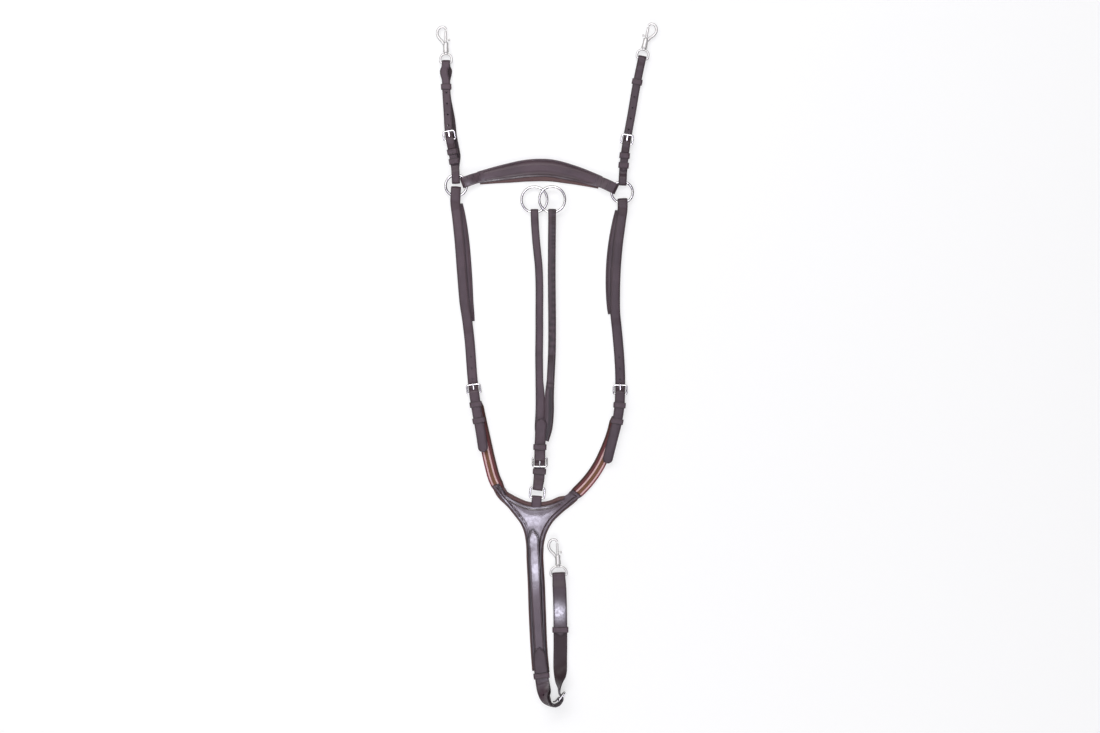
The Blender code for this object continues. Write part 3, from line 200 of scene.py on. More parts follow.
def nickelMaterial(name, look):
    # bright plate with faint polishing marks, a slight cloudiness, and painted shade that darkens its colour towards
    # its outline
    material, tree, shader = newMaterial(name)
    cloud = objectNoise(tree, 55.0, 4.0, 0.6)
    tone = rampNode(tree, cloud, [(0.3, look["dark"]), (0.65, look["light"])])
    # painted shade: the colour darkens where the surface turns away from the camera
    rim = addNode(tree, "LayerWeight", Blend=0.5), "Facing"
    shade = rampNode(tree, rim, [(0.06, grey(1.0)), (0.3, grey(0.42)), (0.75, grey(0.2))])
    feed(shader, "Base Color", mixNode(tree, "MULTIPLY", look["rim"], tone, shade))
    feed(shader, "Roughness", spread(tree, cloud, look["rough"] - 0.05, look["rough"] + 0.07))
    feed(shader, "Normal", bumpNode(tree, objectNoise(tree, 1800.0), 0.12, 0.00005))
    feed(shader, "Metallic", look["metal"])
    return material


def threadMaterial(name, colour):
    material, tree, shader = newMaterial(name)
    twist = objectNoise(tree, 2600.0)
    feed(shader, "Base Color", rampNode(tree, twist, [(0.3, tuple(c * 0.65 for c in colour)), (0.7, colour)]))
    feed(shader, "Roughness", 0.7)
    return material


def elasticMaterial(name, stripes):
    # stripes across the band from its own map, ribs along and across from two waves
    material, tree, shader = newMaterial(name)
    uv = addNode(tree, "UVMap", uv_map="lengths"), "UV"
    parts = addNode(tree, "SeparateXYZ", Vector=uv)
    wander = spread(tree, objectNoise(tree, 900.0), -0.008, 0.008)
    colours = rampNode(tree, mathNode(tree, "ADD", (parts, "Y"), wander), stripes, "CONSTANT")
    ribs, lanes = ((addNode(tree, "TexWave", wave_type="BANDS", bands_direction=way, Scale=scale, Distortion=0.4,
                            Vector=uv), "Fac") for way, scale in (("X", 0.30), ("Y", 11.0)))
    shade = mathNode(tree, "MULTIPLY", ribs, lanes)
    dim = rampNode(tree, shade, [(0.0, grey(0.62)), (0.7, grey(1.0))])
    feed(shader, "Base Color", mixNode(tree, "MULTIPLY", 1.0, colours, dim))
    feed(shader, "Normal", bumpNode(tree, shade, 0.55, 0.0003))
    feed(shader, "Roughness", 0.82)
    feed(shader, "Sheen Weight", 0.2)
    return material


# edge is the colour of the dyed cut edge and of painted shade at edges, in grooves and round the raised overlay;
# flesh is the suede back, made darker as painted shade
strapLook = {"pores": 950.0, "folds": 240.0, "cloud": 28.0, "dark": (0.050, 0.026, 0.036),
             "light": (0.078, 0.044, 0.058), "edge": (0.016, 0.008, 0.010), "flesh": (0.034, 0.018, 0.022),
             "rough": 0.46, "bump": 0.35, "coat": 0.05, "coatRough": 0.36}
liningLook = dict(strapLook, dark=(0.085, 0.026, 0.024), light=(0.125, 0.042, 0.036), edge=(0.06, 0.02, 0.018),
                  rough=0.5, pores=1300.0, bump=0.3, flesh=(0.10, 0.04, 0.033))
strapLeather = leatherMaterial("strapLeather", strapLook)
glossLeather = leatherMaterial("glossLeather", dict(strapLook, rough=0.38, coat=0.08, coatRough=0.3, bump=0.22,
                                                    folds=120.0))
# a darker copy of the strap leather, as painted shade, for the straps on the right and the girth billet
paintedShadeLeather = leatherMaterial("paintedShadeLeather", dict(strapLook, dark=(0.038, 0.019, 0.027),
                                                      light=(0.060, 0.033, 0.044)))
strapOf = {"left": strapLeather, "right": paintedShadeLeather}
liningLeather = leatherMaterial("liningLeather", liningLook)
rollLeather = leatherMaterial("rollLeather", dict(liningLook, dark=(0.070, 0.027, 0.027),
                                                  light=(0.105, 0.043, 0.040)))
# rim: how strongly the painted shade at the outline darkens the plate
nickelPlate = nickelMaterial("nickelPlate", {"dark": (0.64, 0.61, 0.61), "light": (0.80, 0.78, 0.775),
                                             "rough": 0.15, "rim": 0.9, "metal": 1.0})
satinNickel = nickelMaterial("satinNickel", {"dark": (0.86, 0.83, 0.81), "light": (0.95, 0.93, 0.91),
                                             "rough": 0.42, "rim": 0.8, "metal": 0.5})
stitchThread = threadMaterial("stitchThread", (0.11, 0.075, 0.075))
elasticWeb = elasticMaterial("elasticWeb", [
    (0.0, (0.25, 0.045, 0.06)), (0.12, (0.90, 0.58, 0.58)), (0.24, (0.26, 0.085, 0.055)), (0.31, (0.24, 0.105, 0.05)),
    (0.52, (0.90, 0.60, 0.59)), (0.65, (0.19, 0.045, 0.05)), (0.83, (0.08, 0.028, 0.022))])
print("materials made")


def gridFaces(rows, columns, closedRows=False, closedColumns=False):
    # quads between neighbouring points of a grid, as one array
    a = np.arange(rows if closedRows else rows - 1)
    b = np.arange(columns if closedColumns else columns - 1)
    a, b = np.meshgrid(a, b, indexing="ij")
    a2, b2 = (a + 1) % rows, (b + 1) % columns
    return np.stack([a * columns + b, a * columns + b2, a2 * columns + b2, a2 * columns + b], -1).reshape(-1, 4)


def fillMesh(mesh, vertices, faces):
    # faces is a list of arrays, one for each corner count
    mesh.vertices.add(len(vertices))
    mesh.vertices.foreach_set("co", (np.asarray(vertices) * inMetres).astype(np.float32).ravel())
    corners = np.concatenate([f.ravel() for f in faces])
    totals = np.concatenate([np.full(len(f), f.shape[1]) for f in faces])
    mesh.loops.add(len(corners))
    mesh.loops.foreach_set("vertex_index", corners.astype(np.int32))
    mesh.polygons.add(len(totals))
    mesh.polygons.foreach_set("loop_start", (np.cumsum(totals) - totals).astype(np.int32))
    mesh.polygons.foreach_set("loop_total", totals.astype(np.int32))
    mesh.update(calc_edges=True)
    mesh.validate()


def signedVolume(vertices, faces):
    total = 0.0
    for f in faces:
        for k in range(1, f.shape[1] - 1):
            a, b, c = vertices[f[:, 0]], vertices[f[:, k]], vertices[f[:, k + 1]]
            total += float(np.sum(a * np.cross(b, c)))
    return total


def outward(vertices, faces):
    # the faces, turned round if they point inwards
    if signedVolume(vertices - vertices.mean(0), faces) < 0:
        faces = [f[:, ::-1] for f in faces]
    return faces


def readPoints(mesh, what="co"):
    values = np.empty(len(mesh.vertices) * 3, np.float32)
    mesh.vertices.foreach_get(what, values)
    return values.reshape(-1, 3)


def setLayer(mesh, label, values):
    layer = mesh.attributes[label] if label in mesh.attributes else mesh.attributes.new(label, "FLOAT", "POINT")
    layer.data.foreach_set("value", np.asarray(values, np.float32).ravel())


def shaded(mesh, sharp):
    mesh.shade_smooth()
    mesh.set_sharp_from_angle(angle=math.radians(sharp))


def makePiece(name, vertices, faces, material, body, slot, uv=None, edge=None, flesh=None, sharp=40):
    # one closed surface as an object at the origin, its faces outwards
    vertices = np.asarray(vertices, float).reshape(-1, 3)
    mesh = bpy.data.meshes.new(name)
    fillMesh(mesh, vertices, outward(vertices, faces))
    shaded(mesh, sharp)
    if uv is not None:
        corner = np.empty(len(mesh.loops), dtype=np.int32)
        mesh.loops.foreach_get("vertex_index", corner)
        layer = mesh.uv_layers.new(name="lengths")
        layer.data.foreach_set("uv", np.asarray(uv, np.float32).reshape(-1, 2)[corner].ravel())
    for label, values in (("edge", edge), ("flesh", flesh)):
        if values is not None:
            setLayer(mesh, label, values)
    mesh.materials.append(material)
    piece = addObject(name, mesh)
    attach(piece, body)
    return piece


def burnish(piece, spots):
    # the attribute gloss, as bells about places: x, y, reach along x and along y, amount
    places = readPoints(piece.data) * inMillimetres
    gloss = np.zeros(len(places))
    for x, y, reachX, reachY, amount in spots:
        bell = np.exp(-((places[:, 0] - x) / reachX) ** 2 - ((places[:, 1] - y) / reachY) ** 2)
        gloss = np.maximum(gloss, amount * bell)
    setLayer(piece.data, "gloss", gloss)


def curveThrough(points, step):
    # cubic pieces through the points, with slopes from their neighbours
    p = np.array(points, float)
    along = np.concatenate([[0], np.cumsum(np.linalg.norm(np.diff(p[:, :2], axis=0), axis=1) + 1e-6)])
    slope = np.gradient(p, along, axis=0)
    rows = []
    for k in range(len(p) - 1):
        length = along[k + 1] - along[k]
        count = max(1, int(round(length / step)))
        t = (np.arange(count) / count)[:, None]
        rows.append((2 * t**3 - 3 * t**2 + 1) * p[k] + (t**3 - 2 * t**2 + t) * length * slope[k]
                    + (3 * t**2 - 2 * t**3) * p[k + 1] + (t**3 - t**2) * length * slope[k + 1])
    return np.concatenate([*rows, p[-1:]])


class Route:
    # the middle of a strap's underside: s along it, n off its face, side to the right
    def __init__(self, points):
        dense = curveThrough([(*p, 0)[:4] for p in points], 1.0)
        self.place = dense[:, :3]
        self.along = lengths(self.place)
        self.length = float(self.along[-1])
        self.tangent = unit(np.gradient(self.place, self.along, axis=0))
        right = unit(np.cross(self.tangent, (0, 0, 1)))
        up = np.cross(right, self.tangent)
        roll = np.radians(dense[:, 3])[:, None]
        self.normal = up * np.cos(roll) + right * np.sin(roll)

    def frames(self, s):
        s = np.atleast_1d(np.asarray(s, float))
        inside = clamp(s, 0.0, self.length)
        place, tangent, normal = (pointsAt(line, self.along, inside)
                                  for line in (self.place, self.tangent, self.normal))
        tangent = unit(tangent)
        normal = unit(normal - tangent * np.sum(normal * tangent, -1, keepdims=True))
        place = place + tangent * (s - inside)[:, None]
        return place, tangent, normal, np.cross(tangent, normal)

    def near(self, x, y):
        away = np.linalg.norm(self.place[:, :2] - (x, y), axis=1)
        return float(self.along[int(away.argmin())])

    def points(self, s, n=0.0, side=0.0):
        place, _, normal, across = self.frames(s)
        n, side = np.broadcast_to(n, len(place)), np.broadcast_to(side, len(place))
        return place + normal * n[:, None] + across * side[:, None]

    def straightAt(self, s):
        # the straight line that touches the route at s, for rigid metal
        place, tangent, normal, _ = (v[0] for v in self.frames(s))
        line, reach = Route.__new__(Route), 60.0
        line.place = np.stack([place - tangent * reach, place + tangent * reach])
        line.along = np.array([s - reach, s + reach])
        line.length = s + reach
        line.tangent, line.normal = np.stack([tangent] * 2), np.stack([normal] * 2)
        return line


def flat(points, height=0.0):
    return [(x, y, height, 0) for x, y in points]


def stations(*columns):
    # rows of (s, n, width, thick, side) from columns that are arrays or plain numbers
    return np.stack(np.broadcast_arrays(*columns), 1).astype(float)


def ease(start, end, step=3.0):
    # stations whose height changes smoothly between two
    a, b = (np.array((*v, 0)[:5], float) for v in (start, end))
    count = max(2, int(math.ceil(abs(b[0] - a[0]) / step)))
    t = np.linspace(0, 1, count + 1)[:, None]
    found = a + (b - a) * smooth(t)
    found[:, 0] = (a[0] + (b[0] - a[0]) * t)[:, 0]
    return found


def easer(width, thick):
    # ease between two pairs (s, n), for a strap of one width and thickness
    return lambda start, end, step=3.0: ease((*start, width, thick), (*end, width, thick), step)


def fold(s, n, radius, first, last, width, thick, count=14):
    # stations round a bar at s, n
    a = np.radians(np.linspace(first, last, count + 1))
    return stations(s + radius * np.cos(a), n + radius * np.sin(a), width, thick, 0)


def roundedTip(station, heading):
    # a strap's end: its width follows a circle up to the given station
    s, n, width, thick = station
    a = np.radians([0, 12, 24, 36, 46, 56, 65, 73, 80, 86])
    return stations(s - heading * width / 2 * (1 - np.sin(a)), n, width * np.cos(a) + 0.02, thick, 0)


def pointedTip(station, heading, reach):
    # a billet's end: its width falls from full to nothing over reach, as a blunt point
    s, n, width, thick = station
    t = np.array([0, .12, .25, .38, .5, .62, .73, .83, .91, .97, 1.0])
    return stations(s - heading * reach * (1 - t), n, width * (1 - t ** 1.9) ** 0.72 + 0.02, thick, 0)


def gathered(*runs):
    # stations in order, without the ones that repeat the one before them
    rows = np.concatenate([np.array([(*v, 0)[:5] for v in run], float) for run in runs])
    keep = [0]
    for k in range(1, len(rows)):
        if math.dist(rows[k][:2], rows[keep[-1]][:2]) > 0.3:
            keep.append(k)
    return rows[keep]


def fanned(vertices, faces, rows, sides, poles):
    # closes both ends of a tube of rows with fans round two poles
    loop = np.arange(sides)
    after, start, count = (loop + 1) % sides, (rows - 1) * sides, len(vertices)
    faces += [np.stack([after, loop, np.full(sides, count)], 1),
              np.stack([start + loop, start + after, np.full(sides, count + 1)], 1)]
    return np.concatenate([vertices, poles])


def strapPiece(name, route, st, material, body, outer=-1, crease=0.2, crown=0.2, crest=0.0):
    # a strap swept along stations; across it, height = half thickness less the rounded edges,
    # less a crease 1.6 mm in, plus a crown that is highest in the middle
    centres = route.points(st[:, 0], st[:, 1], st[:, 4])
    _, tangent, normal, across = route.frames(st[:, 0])
    slope = unit(np.gradient(st[:, :2], axis=0))
    off = (tangent * slope[:, 1:] - normal * slope[:, :1]) * outer
    half, v = st[:, 2:3] / 2, st[:, 3:4] / 2
    shrink = np.minimum(1.0, half / 4.5)
    inward = np.array([0.0, 0.08, 0.3, 0.65, 1.05, 1.35, 1.6, 1.85, 2.3, 3.1])
    lift = np.array([0.0, 0.5, 0.82, 0.97, *[1.0] * 8])
    groove = np.array([0, 0, 0, 0, 0.1, 0.6, 1.0, 0.6, 0.05, 0, 0, 0])
    x = half - inward * shrink
    right = np.concatenate([x, x[:, -1:] * np.array([0.66, 0.33])], 1)
    share = 1 - (right / np.maximum(half, 1e-6)) ** 2
    edgeRound = np.minimum(0.95, st[:, 3:4] * 0.42)
    z = v - edgeRound * (1 - lift) - crease * groove * shrink + (crown + crest) * share * shrink
    topX = np.concatenate([right, np.zeros_like(half), -right[:, ::-1]], 1)
    topZ = np.concatenate([z, v + (crown + crest) * shrink, z[:, ::-1]], 1)
    lowX = half * np.array([-1.0, -1.0, -0.5, 0.0, 0.5, 1.0, 1.0]) + shrink * np.array([0, 0.25, 0, 0, 0, -0.25, 0])
    lowZ = np.array([0.35, 0, 0, 0, 0, 0, 0.35]) - v
    xs, zs = np.concatenate([topX, lowX], 1), np.concatenate([topZ, lowZ], 1)
    points = centres[:, None] + across[:, None] * xs[..., None] + off[:, None] * zs[..., None]
    rows, columns = points.shape[:2]
    faces = [gridFaces(rows, columns, closedColumns=True)]
    vertices = fanned(points.reshape(-1, 3), faces, rows, columns, [centres[0], centres[-1]])
    run = lengths(centres)
    uv = np.stack([np.repeat(run[:, None], columns, 1), xs], -1).reshape(-1, 2)
    # the attribute edge: darker at the cut edges, partly the dyed edge and partly painted shade where they round
    # over, with painted shade along the crease
    nearEdge = clamp(1.3 - (half - np.abs(xs)) * 1.1) ** 1.5
    line = np.concatenate([groove, [0], groove[::-1], np.zeros(7)])
    nearEdge = np.maximum(nearEdge, line * min(0.7, crease * 2.5))
    nearEdge[:, len(topX[0]):] = 0.5
    under = np.zeros((rows, columns))
    under[:, topX.shape[1] + 1:-1] = 1.0
    uv = np.concatenate([uv, [[run[0], 0], [run[-1], 0]]])
    return makePiece(name, vertices, faces, material, body, "leather", uv, np.append(nearEdge, [1, 1]),
                     np.append(under, [0, 0]))


def skin(grid, closed=False, poles=None):
    # a tube over rows of points; open ends are closed by fans round their middles or given poles
    rows, sides = grid.shape[:2]
    vertices = grid.reshape(-1, 3)
    faces = [gridFaces(rows, sides, closed, True)]
    if not closed:
        vertices = fanned(vertices, faces, rows, sides, poles or [grid[0].mean(0), grid[-1].mean(0)])
    return vertices, outward(vertices, faces)


def merged(*shells):
    # several closed shells in one mesh
    vertices, faces, count = [], [], 0
    for v, f in shells:
        vertices.append(v)
        faces += [part + count for part in f]
        count += len(v)
    return np.concatenate(vertices), sorted(faces, key=lambda part: part.shape[1])


def roundCorners(corners, radii, steps=8):
    # a closed flat outline with an arc at each corner of the polygon
    corners = [np.array(c, float) for c in corners]
    found = []
    for k, corner in enumerate(corners):
        toLast, toNext = unit(corners[k - 1] - corner), unit(corners[(k + 1) % len(corners)] - corner)
        half = math.acos(max(-1, min(1, float(toLast.dot(toNext))))) / 2
        swing = math.pi - 2 * half
        reach = radii[k] / math.tan(half)
        centre = corner + unit(toLast + toNext) * radii[k] / math.sin(half)
        a, b = unit(corner + toLast * reach - centre), unit(corner + toNext * reach - centre)
        t = np.linspace(0, 1, steps + 1)[:, None]
        found.append(centre + radii[k] * (a * np.sin((1 - t) * swing) + b * np.sin(t * swing)) / math.sin(swing))
    return np.concatenate(found)


def evenly(path, step):
    # a closed path with points about a step apart
    path = np.concatenate([path, path[:1]])
    run = lengths(path)
    count = max(3, int(round(run[-1] / step)))
    return pointsAt(path, run, np.linspace(0, run[-1], count + 1)[:-1])


def wireRows(path, radius, sides=20, closed=False):
    # circles along a path that lies nearly flat
    path = np.asarray(path, float)
    tangent = unit((np.roll(path, -1, 0) - np.roll(path, 1, 0)) if closed else np.gradient(path, axis=0))
    up = np.array((0.0, 0.0, 1.0))
    out = unit(np.cross(tangent, up))
    radius = np.broadcast_to(np.asarray(radius, float), (len(path),))[:, None, None]
    turn = (np.arange(sides) * 2 * math.pi / sides)[None, :, None]
    return path[:, None] + radius * (np.cos(turn) * out[:, None] + np.sin(turn) * up)


def closedWire(outline, radius):
    return skin(wireRows(outline, radius, 20, True), True)


def domed(radius, reach, count=5):
    # radii and steps back that round off the end of a wire
    a = np.radians(np.linspace(90, 0, count + 1))[1:]
    return radius * np.sin(a[::-1]), reach * (1 - np.cos(a[::-1]))


def turned(profile, around=40):
    # a shape turned about local y from (radius, height), from pole to pole
    profile = np.asarray(profile, float)
    turn = np.arange(around) * 2 * math.pi / around
    radius, height = profile[1:-1, :1], profile[1:-1, 1:]
    grid = np.stack([radius * np.cos(turn), np.repeat(height, around, 1), radius * np.sin(turn)], -1)
    return skin(grid, poles=[(0, profile[0, 1], 0), (0, profile[-1, 1], 0)])


def softened(profile, radius=0.25):
    # a turned profile whose inner corners are replaced by short chamfers
    p = np.asarray(profile, float)
    rows = [p[:1]]
    for k in range(1, len(p) - 1):
        back, ahead = p[k - 1] - p[k], p[k + 1] - p[k]
        r = min(radius, np.linalg.norm(back) * 0.4, np.linalg.norm(ahead) * 0.4)
        a, b = p[k] + unit(back) * r, p[k] + unit(ahead) * r
        rows.append(np.stack([a, (a + b) / 2 * 0.6 + p[k] * 0.4, b]))
    rows.append(p[-1:])
    return np.concatenate(rows)


class Place:
    # a frame of its own for rigid metal: x to the side, y along and z off the face
    def __init__(self, origin, x, y, z):
        self.origin = np.asarray(origin, float)
        self.axes = np.stack([x, y, z]).astype(float)

    def put(self, shell):
        vertices, faces = shell
        moved = np.asarray(vertices, float) @ self.axes + self.origin
        if np.linalg.det(self.axes) < 0:
            faces = [f[:, ::-1] for f in faces]
        return moved, faces

    def shifted(self, x, y, z):
        return Place(self.origin + np.array((x, y, z)) @ self.axes, *self.axes)


def placeAt(route, s, n=0.0, hand=1):
    place, tangent, normal, across = (v[0] for v in route.frames(s))
    return Place(place + normal * n, across * hand, tangent, normal)


def metalPiece(name, body, *shells):
    plate = satinNickel if "snap" in name else nickelPlate
    made = makePiece(name + "_metal", *merged(*shells), plate, body, "nickel", sharp=50)
    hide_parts(name)
    return made


def carve(piece, tools, operation="DIFFERENCE", sharp=40):
    # cuts or adds the loose shapes and keeps the result as the piece's mesh
    for tool in tools:
        change = piece.modifiers.new("carve", "BOOLEAN")
        change.operation, change.solver, change.object = operation, "EXACT", tool
        change.use_self = operation == "UNION"
    bpy.context.view_layer.update()
    result = bpy.data.meshes.new_from_object(piece.evaluated_get(bpy.context.evaluated_depsgraph_get()))
    piece.modifiers.clear()
    old, piece.data = piece.data, result
    bpy.data.meshes.remove(old)
    result.name = piece.name
    shaded(result, sharp)
    for tool in tools:
        mesh = tool.data
        bpy.data.objects.remove(tool, do_unlink=True)
        bpy.data.meshes.remove(mesh)


def looseShape(vertices, faces):
    mesh = bpy.data.meshes.new("tool")
    fillMesh(mesh, vertices, faces)
    return addObject("tool", mesh)


def blockShape(place, low, high):
    (a, b, c), (d, e, f) = low, high
    grid = np.array([[(a, y, c), (d, y, c), (d, y, f), (a, y, f)] for y in (b, e)], float)
    return looseShape(*place.put(skin(grid)))


# sizes that the metal and the straps share with the frame
size = {"gap": 0.3, "bar": 1.5, "reach": 14.0, "prong": (2.8, 1.4), "chape": 1.6, "keeper": (1.3, 9.0, 0.6),
        "eyeWire": 1.7, "top": (13.0, 2.6), "shoulder": (16.0, 3.0), "fork": (12.5, 2.4), "tail": 17.5,
        "girth": (22.0, 3.0), "pad": 4.0, "face": 2.6, "lift": 1.6, "witherRing": (17.0, 2.0),
        "forkRing": (20.6, 1.9), "dee": (1.6, 5.2), "holePitch": 17.6}
size["ringHeight"] = size["lift"] + size["shoulder"][1] + size["gap"] + size["witherRing"][1]
witherRings = {"left": (-126.0, 530.0), "right": (139.2, 519.2)}
forkRings = {"left": (-1.0, 507.5, 6.2), "right": (27.4, 507.5, 10.8)}


def ringPiece(name, centre, ring):
    # a cast ring, slightly thicker where its ends were joined
    radius, wire = size[ring]
    turn = np.linspace(0, 2 * math.pi, 97)[:-1]
    path = np.stack([np.cos(turn), np.sin(turn), 0 * turn], 1) * radius + np.array(centre)
    thick = wire * (1 + 0.012 * bell(turn, 2.2, 0.08))
    metalPiece(name, name, skin(wireRows(path, thick, 24, True), True))


def buckleHeights(base, strapThick, chape=None):
    # heights of what meets at a buckle, off the top of the layer under it
    chape = chape or size["chape"]
    gap, bar = size["gap"], size["bar"]
    pivot = base + gap + chape + gap + bar
    return {"tail": base + gap + chape / 2, "pivot": pivot, "fold": bar + gap + chape / 2,
            "chape": pivot + bar + gap + chape / 2, "over": pivot + bar + gap + chape + gap + strapThick / 2,
            "under": base + gap + strapThick / 2, "far": base + gap + strapThick + gap + bar}


def bucklePiece(name, body, route, s, heights, width, heading):
    # a bent frame, thinner at the pivot bar, its far bar raised onto the strap
    half = width / 2 + 1.0 + size["bar"]
    reach = size["reach"]
    outline = roundCorners([(-half, 0, 0), (-half, reach, 0), (half, reach, 0), (half, 0, 0)], [1.6, 3.2, 3.2, 1.6])
    outline = evenly(outline, 0.9)
    share = outline[:, 1] / reach
    path = outline * (1, heading, 1)
    path[:, 2] = (heights["far"] - heights["pivot"]) * share
    place = placeAt(route, s, heights["pivot"])
    metalPiece(name, body, place.put(closedWire(path, size["bar"] * (0.94 + 0.06 * share))))


def prongLine(heights):
    lift = size["bar"] + size["gap"] + size["prong"][1] / 2
    return heights["pivot"] + lift, heights["far"] + lift


def flatBar(route, st):
    # a bar swept along stations; its section is a circle whose cosine and sine are raised to powers
    centres = route.points(st[:, 0], st[:, 1], st[:, 4])
    _, tangent, normal, across = route.frames(st[:, 0])
    slope = unit(np.gradient(st[:, :2], axis=0))
    off = normal * slope[:, :1] - tangent * slope[:, 1:]
    turn = np.radians(np.arange(20) * 18.0)
    x, z = (np.sign(wave) * np.abs(wave) ** power for wave, power in ((np.cos(turn), 0.45), (np.sin(turn), 0.8)))
    return skin(centres[:, None] + across[:, None] * (x * st[:, 2:3] / 2)[..., None]
                + off[:, None] * (z * st[:, 3:4] / 2)[..., None])


def prongPiece(name, route, s, heights, heading):
    # a flat tongue curled round the pivot bar, its blunt tip on the far bar
    start, end = prongLine(heights)
    wide, thick = size["prong"]
    radius = size["bar"] + size["gap"] + thick / 2
    a = np.radians(np.linspace(-35, -270, 30))
    curl = stations(s + heading * radius * np.cos(a), heights["pivot"] + radius * np.sin(a), wide, thick, 0)
    reach = size["reach"] + 1.6
    blunt = [reach - 1.0, reach - 0.5, reach - 0.15, reach]
    t = np.array([1.5, 3.0, 4.5, 7.5, 10.5, 12.5, 14.0, *blunt])
    width = np.interp(t, [4.5, 10.5, *blunt], wide - np.array([0, 0.3, 0.7, 1.1, 1.7, 2.3]))
    tall = np.interp(t, [0, reach - 0.5, reach], [thick, thick, thick * 0.5])
    shaft = stations(s + heading * t, start + (end - start) * t / size["reach"], width, tall, 0)
    metalPiece(name, name, flatBar(route.straightAt(s), gathered(curl, shaft)))


def prongSlots(route, s, heights, heading, lowest, chapeToo, billetToo):
    # shapes that cut the curl's slot in a chape and the prong's hole in a billet
    start, end = prongLine(heights)
    wide = size["prong"][0] / 2 + 0.35
    gap, thick = size["gap"], size["prong"][1]
    line = route.straightAt(s)
    tools = []
    if chapeToo:
        curl = size["bar"] + gap + thick + gap + 1.5
        tools.append(blockShape(placeAt(line, s), (-wide, heading * 0.4 - curl, lowest),
                                (wide, heading * 0.4 + curl, start + thick / 2 + gap)))
    if billetToo:
        rows = []
        for t in (-0.5, size["reach"] - 3.0):
            at = start + (end - start) / size["reach"] * t
            low, high = thick / 2 + gap, thick / 2 + gap + 1.3 * max(t, 0) / size["reach"]
            place = placeAt(line, s + heading * t, at)
            corners = np.array([(-wide, 0, -low), (wide, 0, -low), (wide, 0, high), (-wide, 0, high)])
            rows.append(corners @ place.axes + place.origin)
        tools.append(looseShape(*skin(np.array(rows))))
    return tools


def holeShapes(route, places, n, low, high):
    # round holes from low to high off the height n
    tools = []
    for place in (placeAt(route, s, n) for s in places):
        upright = Place(place.origin, place.axes[0], place.axes[2], -place.axes[1])
        tools.append(looseShape(*upright.put(turned([(0, low), (1.6, low), (1.6, high), (0, high)], 20))))
    return tools


def keeperPiece(name, body, route, s, low, high, width):
    # a leather loop: its section has rounded edges and a crease near each of them
    thick, length, room = size["keeper"]
    half = width / 2 + room + thick / 2
    bottom, top = low - size["gap"] - thick / 2, high + room + thick / 2
    loop = evenly(roundCorners([(-half, 0, bottom), (half, 0, bottom), (half, 0, top), (-half, 0, top)],
                               [0.9, 1.7, 1.7, 0.9], 6), 0.8)
    loop[:, 2] += 0.22 * clamp(1 - (loop[:, 0] / half) ** 2) * (loop[:, 2] > (low + high) / 2)
    out = np.cross((0, 1, 0), unit(np.roll(loop, -1, 0) - np.roll(loop, 1, 0)))
    if np.sum(out * (loop - loop.mean(0))) < 0:
        out = -out
    inward = np.array([0, 0.1, 0.35, 0.75, 1.15, 1.45, 1.75, 2.2, 3.2])
    lift = np.array([-0.1, 0.28, 0.44, 0.5, 0.47, 0.34, 0.47, 0.5, 0.51])
    y = np.concatenate([inward - length / 2, [0], (length / 2 - inward)[::-1],
                        [length / 2 - 0.3, 0, 0.3 - length / 2]])
    z = np.concatenate([lift, [0.52], lift[::-1], [-0.5] * 3])
    grid = loop[:, None] + out[:, None] * (z * thick)[None, :, None] + np.array((0, 1, 0)) * y[None, :, None]
    vertices, faces = placeAt(route, s).put(skin(grid, True))
    rim = clamp(1.2 - (length / 2 - np.abs(y)) * 1.2)
    rim[-3:] = (0.8, 0.3, 0.8)
    flesh = (np.arange(len(y)) == len(y) - 2) * 1.0
    made = makePiece(name + "_loop", vertices, faces, strapLeather, body, "leather", None,
                     np.tile(rim, len(loop)), np.tile(flesh, len(loop)))
    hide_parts(name)


